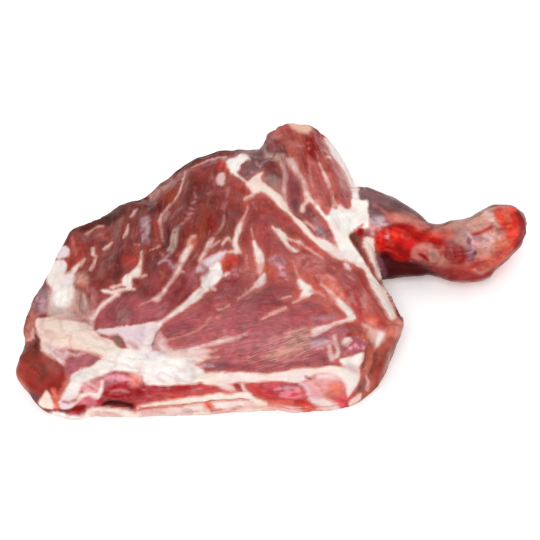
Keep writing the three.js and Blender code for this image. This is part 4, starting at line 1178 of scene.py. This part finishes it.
# how a stroke lies: shares, ranges of noise, and pixels
brush = {
    "reach": 7,                    # past the soft edge
    "fray": 0.9, "fineFray": 0.6, "ragged": 0.5, "patchRagged": 0.7,
    "speckSize": (3.4, 1.5, 1), "speckStep": 0.37, "speckSeed": 10,
    "clumpSize": 0.006, "clumps": 0.5, "clumpSeed": 11, "specks": (0.1, 0.65),
    "torn": (-0.9, 0.0), "tornFine": 0.7,
    "whole": 0.95, "weakWhole": 0.7, "gaps": (-0.5, 0.2), "wideGaps": 0.6,
    "weakSeam": 4,                 # a weak seam counts as farther off
    "ledge": 1.1, "ledgeEdge": 1.5,
    "glow": 0.45, "stripGlow": 0.3, "glowReach": 6,
    "core": 0.6, "coreFrom": 0.7, "coreEdge": (0.2, -2.0),
    "overFilm": 0.4, "least": 1e-4,
}


def markSeam(ids, far, strength):
    seamFar[ids] = np.minimum(seamFar[ids], far + brush["weakSeam"] * (1 - strength))


def lay(number, layer, tone, soft, strength, points):
    ids, far = distanceTo(points, soft + brush["reach"])
    thin = len(points[0]) == 3
    ragged = brush["fray"] * fray[ids] + brush["fineFray"] * fineFray[ids] + brush["ragged"] * noise4[ids]
    if not thin:
        ragged += brush["patchRagged"] * noise8[ids]
    far = far + ragged * square[ids]
    cover = strength * ramp(soft, -soft, far)
    if layer == "speck":
        at = grain[ids] / brush["speckSize"] + (0, 0, brush["speckStep"] * number)
        specks = softNoise(at, 1.0, brush["speckSeed"])
        specks += brush["clumps"] * softNoise(spot[ids], brush["clumpSize"], brush["clumpSeed"] + number)
        cover *= ramp(*brush["specks"], specks)
    if layer == "skin":
        cover *= ramp(*brush["torn"], noise4[ids] + brush["tornFine"] * noise2[ids])
        film[ids] = np.maximum(film[ids], cover)
    if layer in ("fat", "ledge"):
        if thin:
            whole = brush["weakWhole"] if strength < brush["whole"] else 1.0     # weak lines break up
            gaps = ramp(*brush["gaps"], noise4[ids] + brush["wideGaps"] * noise8[ids])
            cover *= whole + (1 - whole) * gaps
            markSeam(ids, far, strength)
        if layer == "ledge":
            step = ramp(brush["ledgeEdge"], -brush["ledgeEdge"], far)
            relief[ids] = np.maximum(relief[ids], brush["ledge"] * step)
        glow = strength * ramp(brush["glowReach"], 0, far)
        glow *= brush["glow"] - brush["stripGlow"] * inStrips[ids]
        paint(meatTone, "salmon", glow, ids)     # flesh pales next to fat
        total = cover + fatCover[ids] * (1 - cover)
        paint(fatTone, tone, cover / np.maximum(total, brush["least"]), ids, fatGain)
        fatCover[ids] = total
        if thin and strength > brush["coreFrom"]:
            core = brush["core"] * strength * ramp(*brush["coreEdge"], far)
            paint(fatTone, "whiteFat", core, ids, fatGain)
        return
    if layer == "over":
        fatCover[ids] *= 1 - cover
        cover = cover / np.maximum(1 - fatCover[ids], brush["least"])
        film[ids] = np.maximum(film[ids], brush["overFilm"] * cover)
    paint(meatTone, tone, cover, ids)
    gloss[ids] += cover * (glossOf.get(tone, 1.0) - gloss[ids])


# muscles swell between the seams and the seams sink, which moves the points in the picture
swell = {"height": 2.0, "reach": 9.0, "furrow": 1.6, "furrowReach": 3.5, "rounds": 2, "fat": 0.5}


def sunkBySeams():
    clear = np.maximum(seamFar, 0)
    sunk = -swell["height"] * np.exp(-(clear / swell["reach"]) ** 2)
    sunk -= swell["furrow"] * np.exp(-(clear / swell["furrowReach"]) ** 2)
    return smoothed(np.where(seen, sunk, 0.0), swell["rounds"])


for turn in range(swell["rounds"]):
    seamFar[:] = farOff
    for layer, tone, soft, strength, points in strokes:
        if layer in ("fat", "ledge") and len(points[0]) == 3:
            markSeam(*distanceTo(points, soft + brush["reach"]), strength)
    pixel = toPicture(spot + facing * (sunkBySeams() / metre)[:, None])
seamFar[:] = farOff

for number, stroke in enumerate(strokes):
    lay(number, *stroke)
relief += swell["fat"] * smoothed(fatCover, swell["rounds"])
print("strokes:", len(strokes))

# tints in the fat: tone, strength, noise that places it
fatTints = [
    ("blush", 0.35, noise8 + 0.6 * noise4), ("lilacFat", 0.35, noise16 - 0.5 * noise8),
    ("shade", 0.3, fray + 0.5 * fineFray), ("butter", 0.35, -noise16 - 0.4 * noise4),
]
tintRange = (0.15, 0.9)
for tone, strength, where in fatTints:
    paint(fatTone, tone, strength * ramp(*tintRange, where), lit=fatGain)

# long dark and pale streaks, strongest in the strips, which shine less
streaked = {
    "elsewhere": 0.25, "lowEnd": (330, 290), "dull": 0.6,
    "dark": 0.3, "darkRange": (0.1, 0.8), "darkTint": (0.8, 1.2, 1.2),
    "pale": 0.08, "paleRange": (0.2, 0.85),
}
striped = (1 - streaked["elsewhere"]) * inStrips * ramp(*streaked["lowEnd"], pixel[:, 1])
striped += streaked["elsewhere"]
gloss *= 1 - streaked["dull"] * inStrips
darkShare = streaked["dark"] * striped * ramp(*streaked["darkRange"], streaks)
meatTone *= 1 - darkShare[:, None] * streaked["darkTint"]
paint(meatTone, "rosePink", streaked["pale"] * striped * ramp(*streaked["paleRange"], -streaks))

# clefts: depth in millimetres, points with widths
cleftEdge = {"reach": 9, "soft": (2.0, -2.5), "ragged": 0.5}
clefts = [
    (1.7, [(355, 236, 4), (359, 244, 4), (364, 255, 3), (369, 265, 2.5), (376, 276, 2), (384, 289, 1.5)]),
    (1.2, [(331, 199, 1.5), (334, 206, 2.5), (338, 215, 2.5), (340, 222, 1.5)]),
    (1.8, [(104, 406, 2), (110, 404, 4), (120, 405, 4), (132, 408, 3)]),
    (1.0, [(142, 411, 2), (160, 408, 2), (176, 406, 2), (190, 404, 2), (203, 403, 1.5)]),
    (1.2, [(368, 345, 2), (366, 356, 2.5), (363, 370, 2.5), (359, 388, 2)]),
    (1.0, [(375, 354, 3), (373, 366, 3), (368, 376, 2)]),
    (0.8, [(156, 334, 1.5), (154, 341, 2), (152, 349, 1.5)]),
    (1.0, [(166, 224, 2), (168, 234, 3), (166, 244, 2)]),
    (1.2, [(215, 252, 4), (222, 247, 5), (230, 245, 4)]),
    (0.8, [(114, 337, 4), (119, 341, 5)]),
    (1.4, [(340, 346, 6), (350, 350, 8), (360, 346, 6)]),
    (1.4, [(272, 147, 6), (282, 148, 7)]),
    (1.0, [(384, 251, 4), (385, 256, 5), (385, 261, 4)]),
    (1.0, [(72, 412, 4), (78, 409, 6), (84, 406, 4)]),
]
for depth, points in clefts:
    ids, far = distanceTo(points, cleftEdge["reach"])
    relief[ids] -= depth * ramp(*cleftEdge["soft"], far + cleftEdge["ragged"] * noise4[ids])
print("clefts:", len(clefts))

# wrinkles of gristle and loose fat: height in millimetres, lie in degrees, softness, outline
fold = {
    "wander": 5, "length": 16, "width": 5,     # pixels
    "sharp": (0.3, 0), "shade": 0.22, "tint": (0.7, 1, 1), "seed": 12,
}
wrinkles = [
    (0.8, 14, 4, [(38, 319), (62, 319), (92, 328), (112, 341), (124, 350), (84, 351), (42, 347)]),
    (0.6, 60, 5, [(48, 292), (60, 306), (80, 296), (92, 318), (50, 318)]),
    (0.5, 20, 5, [(104, 358), (150, 352), (200, 354), (200, 382), (150, 384), (84, 382), (64, 398)]),
]
for rise, lie, soft, points in wrinkles:
    ids, far = distanceTo(points, soft)
    turn = math.radians(lie)
    at = pixel[ids] + fold["wander"] * np.column_stack([noise16[ids], noise8[ids]])
    along = at @ (math.cos(turn), math.sin(turn)) / fold["length"]
    across = at @ (-math.sin(turn), math.cos(turn)) / fold["width"]
    folds = softNoise(np.column_stack([along, across, np.full(len(ids), lie)]), 1.0, fold["seed"])
    folds = ramp(*fold["sharp"], np.abs(folds)) * ramp(soft, -soft, far)
    relief[ids] -= rise * folds
    # fat darkened in the fold valleys: painted shade in the creases
    fatTone[ids] *= 1 - fold["shade"] * folds[:, None] * fold["tint"]
print("wrinkles:", len(wrinkles))

# hidden sides: the painted edge runs on over the rim, then plain muscle, silverskin and the fat sheet below
hidden = {
    "spread": 14,                  # rings of points that the edge runs on
    "wander": 0.3,
    "sheetHeight": 0.0065, "sheetWander": 0.003, "sheetRagged": 0.0012, "sheetEdge": (-0.001, 0.001),
    "shank": (0.070, 0.085), "shankSide": (0.0, 0.012), "shankFat": 0.3,
    "knuckle": (0.108, 0.128), "redEnd": (0.140, 0.166),
    "patches": 0.9, "patchEdge": (0.63, 0.87), "wisps": 0.45, "wispEdge": (0.5, 1.1),
    "under": 0.001, "underEdge": (-0.5, 0.1),
    "dark": 0.35, "darkRange": (0.1, 0.8), "pale": 0.3, "paleRange": (0.15, 0.8),
    "blush": (-0.3, 0.6), "film": (0.2, 0.7), "coverRounds": 4,
}
height = spot[:, 2]
onShank = ramp(*hidden["shank"], spot[:, 0]) * ramp(*hidden["shankSide"], spot[:, 1])
onKnuckle = ramp(*hidden["knuckle"], spot[:, 0])
plainTints = [     # tone, strength, where
    ("dusk", 1.0, ramp(-0.4, 0.6, noise16)),
    ("greySkin", 0.45, ramp(0.25, 0.7, noise30 + 0.3 * noise8)),
    ("slate", 0.7, onShank),
    ("bone", 1.0, onKnuckle),
    ("coral", 1.0, onKnuckle * ramp(*hidden["redEnd"], spot[:, 0])),
    ("wine", 0.35, ramp(0.1, 0.6, noise4 + 0.6 * noise8)),
]
plainTone = np.tile(toLinear("strip"), (pointCount, 1))
for tone, strength, where in plainTints:
    paint(plainTone, tone, strength * where)
plainTone *= (1 - hidden["dark"] * ramp(*hidden["darkRange"], streaks))[:, None]
paint(plainTone, "rosePink", hidden["pale"] * ramp(*hidden["paleRange"], -streaks))

sheetTop = hidden["sheetHeight"] + hidden["sheetWander"] * noise16 + hidden["sheetRagged"] * noise4
sheet = ramp(*hidden["sheetEdge"], sheetTop - height)
patches = hidden["patches"] * ramp(*hidden["patchEdge"], 0.8 * noise16 + noise30 + 0.25 * noise4)
wisps = hidden["wisps"] * ramp(*hidden["wispEdge"], fray + 0.6 * noise16)
plainCover = np.maximum(np.maximum(sheet, patches), wisps)
bareBone = onShank + onKnuckle > 0.5
plainCover[bareBone] *= hidden["shankFat"]
underCover = ramp(*hidden["underEdge"], noise30 + 0.6 * noise16)
plainCover = np.where(height < hidden["under"], underCover, plainCover)
plainFat = np.tile(toLinear("cream", fatGain), (pointCount, 1))
paint(plainFat, "blush", ramp(*hidden["blush"], noise8), lit=fatGain)

known = seen.astype(float)
carry = np.column_stack([meatTone, fatTone, fatCover, film, relief, gloss])
share = known.copy()
for step in range(hidden["spread"]):
    around = aroundSum(known)
    fresh = (around > 0) & (known == 0)
    summed = aroundSum(carry * known[:, None])
    carry[fresh] = summed[fresh] / around[fresh][:, None]
    share[fresh] = 1 - (step + 1) / hidden["spread"]
    known[fresh] = 1
wander = hidden["wander"] * noise8 * (share > 0) * (share < 1)
blendIn = np.where(seen, 1.0, ramp(0, 1, share + wander))
meatRim, fatRim, *others = np.split(carry, (3, 6, 7, 8, 9), 1)     # as they were stacked
coverRim, filmRim, reliefRim, glossRim = (column[:, 0] for column in others)
meatTone = plainTone + blendIn[:, None] * (meatRim - plainTone)
fatTone = plainFat + blendIn[:, None] * (fatRim - plainFat)
fatCover = plainCover + blendIn * (coverRim - plainCover)
fatCover = np.where(seen, fatCover, smoothed(fatCover, hidden["coverRounds"]))
film = blendIn * filmRim + (1 - blendIn) * ramp(*hidden["film"], noise30)
relief = blendIn * reliefRim
gloss = 1 + blendIn * (glossRim - 1)
print("hidden sides covered")

# relief: bundles of fibres in the muscle, lumps in the fat, heights in millimetres
meatLumps = [(0.45, noise8), (0.35, noise16), (0.2, noise4), (0.7, grainNoise(26, 3.4, 6))]
fatLumps = [(0.6, noise4), (0.4, noise8), (0.18, noise2)]
easing = {"fat": (0.2, 0.9), "under": (0.0003, 0.003), "rounds": 4, "folded": 0.9, "beside": 0.1}
fatShare = ramp(*easing["fat"], fatCover)
relief = relief + sunkBySeams()
relief += sum(rise * noise for rise, noise in meatLumps) * (1 - fatShare)
relief += sum(rise * noise for rise, noise in fatLumps) * fatShare
relief = smoothed(relief, 1) * ramp(*easing["under"], height)     # the underside stays flat
spot = setDown(spot + facing * (relief / metre)[:, None])

# points where the surface folds are eased out
for turn in range(easing["rounds"]):
    facing = pointNormals()
    around = aroundMean(facing)
    around /= np.maximum(np.linalg.norm(around, axis=1), tiny)[:, None]
    bent = (facing * around).sum(1) < easing["folded"]
    folded = smoothed(bent.astype(float), 1) > easing["beside"]
    spot[folded] = aroundMean(spot)[folded]
    spot = setDown(spot)
mesh.polygons.foreach_set("use_smooth", np.ones(len(mesh.polygons), bool))
print("relief from", round(float(relief.min()), 2), "to", round(float(relief.max()), 2), "mm")


def storeField(name, kind, slot, values):
    layer = mesh.attributes.new(name, kind, "POINT")
    layer.data.foreach_set(slot, np.ascontiguousarray(values, dtype=np.float32).ravel())


fullTone = np.ones((pointCount, 1))
storeField("meatTone", "FLOAT_COLOR", "color", np.hstack([np.clip(meatTone, 0, 1), fullTone]))
storeField("fatTone", "FLOAT_COLOR", "color", np.hstack([np.clip(fatTone, 0, 1), fullTone]))
storeField("fatCover", "FLOAT", "value", fatCover)
storeField("film", "FLOAT", "value", film)
storeField("threads", "FLOAT", "value", threads)
storeField("gloss", "FLOAT", "value", gloss)
storeField("grain", "FLOAT_VECTOR", "vector", grain)

# the meat's finish
finish = {
    # noise along the fibres: repeats in a fibre's length and width and from line to line, detail, roughness
    "fibre": (1.0, 1.0, 1.0, 3.0, 0.6),
    "bundle": (0.5, 0.3, 1.0, 2.0, 0.5),
    "fleck": (1.6, 0.55, 2.0, 2.0, 0.5),
    "fibreLength": 9.0,        # millimetres
    "fibreWidth": 1.0,
    # noise in space: scale, detail, roughness
    "mottle": (190.0, 4.0, 0.62),
    "fine": (900.0, 3.0, 0.6),
    "wetPatches": (75.0, 2.0, 0.5),
    "drift": (110.0, 2.0, 0.5),
    "rag": (520.0, 3.0, 0.6),
    "fatMottle": (330.0, 3.0, 0.6),
    "fatBlush": (140.0, 2.0, 0.5),
    "fatDrift": (55.0, 2.0, 0.5),
    "fatFolds": (420.0, 3.0, 0.6),
    # ranges of noise and what they become
    "fibreShade": (0.3, 0.7, -1, 1),
    "bundleShade": (0.3, 0.7, -0.7, 0.7),
    "mottleShade": (0.3, 0.7, -0.20, 0.20),
    "plain": (0.15, 0.38, 0.1, 1.0),
    "darkDrift": (0.50, 0.78, 0.0, 0.38),
    "paleDrift": (0.48, 0.22, 0.0, 0.18),
    "paleThread": (0.50, 0.68, 0.0, 0.55),
    "fleckShare": (0.60, 0.74, 0.0, 0.10),
    "ragged": (0.2, 0.8, -0.16, 0.16),
    "fibreRagged": (0.3, 0.7, -0.1, 0.1),
    "fatEdge": (0.08, 0.92, 0.0, 1.0),
    "fatShade": (0.25, 0.75, 0.94, 1.05),
    "blushShare": (0.52, 0.75, 0.0, 0.35),
    "fatLight": (0.3, 0.7, 0.95, 1.03),
    "meatRoughness": (0.3, 0.7, 0.30, 0.52),
    "fatRoughness": (0.3, 0.7, 0.40, 0.58),
    "wetShare": (0.45, 0.65, 0.0, 1.0),
    # colours
    "darkTone": (0.105, 0.040, 0.042, 1),
    "paleTone": (0.40, 0.15, 0.135, 1),
    "threadTone": (0.60, 0.33, 0.29, 1),
    "fleckTone": (0.72, 0.40, 0.38, 1),
    "blushTone": (0.72, 0.46, 0.42, 1),
    "edgeTone": (0.74, 0.36, 0.31, 1),
    # shares
    "fibreContrast": 0.12,
    "leastThreads": 0.4,
    "edgeTint": 0.5,
    "wet": 0.5,
    "fatWet": 0.2,
    "moist": 0.32,
    "filmWet": 0.15,
    "filmSmooth": 0.08,
    "coatRoughness": 0.24,
    "specular": 0.04,
    "pores": 0.45,
    "folds": 0.9,
    "bumpStrength": 0.8,
    "bumpHeight": 0.00035,     # metres
}


def shaderKit(material):
    material.use_nodes = True
    nodes = material.node_tree.nodes
    wires = material.node_tree.links
    nodes.clear()

    def add(kind, **settings):
        node = nodes.new(kind)
        for key, value in settings.items():
            setattr(node, key, value)
        return node

    def feed(socket, source):
        if isinstance(source, (int, float, tuple)):
            socket.default_value = source
        else:
            wires.new(source, socket)

    def math2(operation, a, b=0.0):
        node = add("ShaderNodeMath", operation=operation)
        feed(node.inputs[0], a)
        feed(node.inputs[1], b)
        return node.outputs[0]

    def spread(value, low, high, toLow=0.0, toHigh=1.0, soft=True):
        node = add("ShaderNodeMapRange", interpolation_type="SMOOTHSTEP" if soft else "LINEAR")
        feed(node.inputs["Value"], value)
        for key, number in zip(("From Min", "From Max", "To Min", "To Max"), (low, high, toLow, toHigh)):
            node.inputs[key].default_value = number
        return node.outputs[0]

    def noise(vector, scale, detail=2.0, rough=0.5):
        node = add("ShaderNodeTexNoise")
        feed(node.inputs["Vector"], vector)
        node.inputs["Scale"].default_value = scale
        node.inputs["Detail"].default_value = detail
        node.inputs["Roughness"].default_value = rough
        return node.outputs["Fac"]

    def stretched(vector, sizes):
        node = add("ShaderNodeVectorMath", operation="MULTIPLY")
        feed(node.inputs[0], vector)
        node.inputs[1].default_value = sizes
        return node.outputs[0]

    def scaled(colour, amount):
        node = add("ShaderNodeVectorMath", operation="SCALE")
        feed(node.inputs[0], colour)
        feed(node.inputs["Scale"], amount)
        return node.outputs[0]

    def mixed(share, a, b):
        node = add("ShaderNodeMix", data_type="RGBA")
        feed(node.inputs["Factor"], share)
        feed(node.inputs[6], a)
        feed(node.inputs[7], b)
        return node.outputs[2]

    def between(share, a, b):
        node = add("ShaderNodeMix", data_type="FLOAT")
        feed(node.inputs[0], share)
        feed(node.inputs[2], a)
        feed(node.inputs[3], b)
        return node.outputs[0]

    def field(name, output):
        return add("ShaderNodeAttribute", attribute_name=name).outputs[output]

    return add, feed, math2, spread, noise, stretched, scaled, mixed, between, field


def meatMaterial():
    material = bpy.data.materials.new("rawShoulder")
    add, feed, math2, spread, noise, stretched, scaled, mixed, between, field = shaderKit(material)
    out = add("ShaderNodeOutputMaterial")
    surface = add("ShaderNodeBsdfPrincipled")
    feed(out.inputs["Surface"], surface.outputs["BSDF"])
    place = add("ShaderNodeTexCoord").outputs["Object"]
    grainAt = field("grain", "Vector")

    def inSpace(name):
        return noise(place, *finish[name])

    def alongFibres(name):
        lengths, widths, lines, detail, rough = finish[name]
        sizes = (lengths / finish["fibreLength"], widths / finish["fibreWidth"], lines)
        return noise(stretched(grainAt, sizes), 1.0, detail, rough)

    def ranged(value, name, soft=True):
        return spread(value, *finish[name], soft=soft)

    fibre = alongFibres("fibre")
    mottle = inSpace("mottle")
    fine = inSpace("fine")
    shine = field("gloss", "Fac")

    # muscle
    streak = math2("ADD", ranged(fibre, "fibreShade"), ranged(alongFibres("bundle"), "bundleShade"))
    threads = field("threads", "Fac")
    streak = math2("MULTIPLY", streak, math2("ADD", threads, finish["leastThreads"]))
    streak = math2("MULTIPLY", streak, finish["fibreContrast"])
    shade = math2("ADD", streak, ranged(mottle, "mottleShade"))
    muscle = scaled(field("meatTone", "Color"), math2("ADD", shade, 1.0))
    drift = inSpace("drift")
    plain = ranged(shine, "plain")     # fresh blood stays clear
    muscle = mixed(math2("MULTIPLY", plain, ranged(drift, "darkDrift")), muscle, finish["darkTone"])
    muscle = mixed(math2("MULTIPLY", plain, ranged(drift, "paleDrift")), muscle, finish["paleTone"])
    # pale threads: the fibres' own colour, and partly painted highlights where they catch the light
    muscle = mixed(math2("MULTIPLY", threads, ranged(fibre, "paleThread")), muscle, finish["threadTone"])
    fleck = ranged(alongFibres("fleck"), "fleckShare")
    muscle = mixed(math2("MULTIPLY", plain, fleck), muscle, finish["fleckTone"])

    # fat over it, with a slightly ragged edge
    cover = field("fatCover", "Fac")
    edgeShare = math2("MULTIPLY", cover, math2("SUBTRACT", 1.0, cover))
    edgeShare = math2("MULTIPLY", edgeShare, 4.0)     # 1 in the middle of the edge
    rag = ranged(inSpace("rag"), "ragged", soft=False)
    rag = math2("ADD", rag, ranged(fibre, "fibreRagged", soft=False))
    inFat = ranged(math2("ADD", cover, math2("MULTIPLY", rag, edgeShare)), "fatEdge", soft=False)
    fat = scaled(field("fatTone", "Color"), ranged(inSpace("fatMottle"), "fatShade"))
    fat = mixed(ranged(inSpace("fatBlush"), "blushShare"), fat, finish["blushTone"])
    fat = scaled(fat, ranged(inSpace("fatDrift"), "fatLight"))
    fat = mixed(math2("MULTIPLY", edgeShare, finish["edgeTint"]), fat, finish["edgeTone"])
    feed(surface.inputs["Base Color"], mixed(inFat, muscle, fat))

    # gloss
    wetFilm = field("film", "Fac")
    rough = between(inFat, ranged(mottle, "meatRoughness"), ranged(fine, "fatRoughness"))
    rough = math2("SUBTRACT", rough, math2("MULTIPLY", wetFilm, finish["filmSmooth"]))
    feed(surface.inputs["Roughness"], rough)
    coat = between(inFat, finish["wet"], finish["fatWet"])
    coat = math2("MULTIPLY", ranged(inSpace("wetPatches"), "wetShare"), coat)
    filmCoat = math2("ADD", math2("MULTIPLY", wetFilm, finish["filmWet"]), finish["moist"])
    coat = math2("MULTIPLY", math2("ADD", coat, filmCoat), between(inFat, shine, 1.0))
    feed(surface.inputs["Coat Weight"], coat)
    surface.inputs["Coat Roughness"].default_value = finish["coatRoughness"]
    surface.inputs["Specular IOR Level"].default_value = finish["specular"]

    # fine relief
    fibreBump = math2("MULTIPLY", fibre, math2("SUBTRACT", 1.0, inFat))
    pores = math2("MULTIPLY", fine, finish["pores"])
    folds = math2("MULTIPLY", inSpace("fatFolds"), math2("MULTIPLY", inFat, finish["folds"]))
    bump = add("ShaderNodeBump")
    bump.inputs["Distance"].default_value = finish["bumpHeight"]
    bump.inputs["Strength"].default_value = finish["bumpStrength"]
    feed(bump.inputs["Height"], math2("ADD", math2("ADD", fibreBump, pores), folds))
    feed(surface.inputs["Normal"], bump.outputs["Normal"])
    return material


shoulder.data.materials.clear()
shoulder.data.materials.append(meatMaterial())
print("meat finished")

# pale floor and soft light
stageSet = {
    "floorSize": 6.0,
    "floorColour": (0.97, 0.97, 0.97, 1),
    "floorSpecular": 0.1,
    "floorGlow": 0.12,
    "floorGrain": 60.0,
    "floorRoughness": (0.3, 0.7, 0.75, 0.85),     # range of noise and what it becomes
    "white": (1, 1, 1, 1),
    "sky": 0.86,
    "keyFrom": (-0.2, -0.75, 1.0),
    "keyAngle": 32.0,
    "keyPower": 1.3,
}


def floorPlane():
    half = stageSet["floorSize"] / 2
    corners = [(-half, -half, 0), (half, -half, 0), (half, half, 0), (-half, half, 0)]
    plane = bpy.data.meshes.new("floor")
    plane.from_pydata(corners, [], [(0, 1, 2, 3)])
    material = bpy.data.materials.new("paleFloor")
    add, feed, math2, spread, noise = shaderKit(material)[:5]
    out = add("ShaderNodeOutputMaterial")
    surface = add("ShaderNodeBsdfPrincipled")
    feed(out.inputs["Surface"], surface.outputs["BSDF"])
    surface.inputs["Base Color"].default_value = stageSet["floorColour"]
    surface.inputs["Specular IOR Level"].default_value = stageSet["floorSpecular"]
    surface.inputs["Emission Color"].default_value = stageSet["white"]
    surface.inputs["Emission Strength"].default_value = stageSet["floorGlow"]
    place = add("ShaderNodeTexCoord").outputs["Object"]
    grit = noise(place, stageSet["floorGrain"])
    feed(surface.inputs["Roughness"], spread(grit, *stageSet["floorRoughness"]))
    plane.materials.append(material)
    floor = bpy.data.objects.new("floor", plane)
    bpy.context.scene.collection.objects.link(floor)
    return floor


def softKey():
    data = bpy.data.lights.new("key", "SUN")
    data.angle = math.radians(stageSet["keyAngle"])
    data.energy = stageSet["keyPower"]
    lamp = bpy.data.objects.new("key", data)
    lamp.rotation_euler = (-Vector(stageSet["keyFrom"])).to_track_quat("-Z", "Y").to_euler()
    bpy.context.scene.collection.objects.link(lamp)


floor = floorPlane()
softKey()
world = bpy.data.worlds.new("studio")
world.use_nodes = True
backdrop = world.node_tree.nodes["Background"]
backdrop.inputs["Color"].default_value = stageSet["white"]
backdrop.inputs["Strength"].default_value = stageSet["sky"]
bpy.context.scene.world = world
bpy.context.scene.view_settings.view_transform = "Standard"
print("stage set")

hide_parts("goat_shoulder")
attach(shoulder, "root")
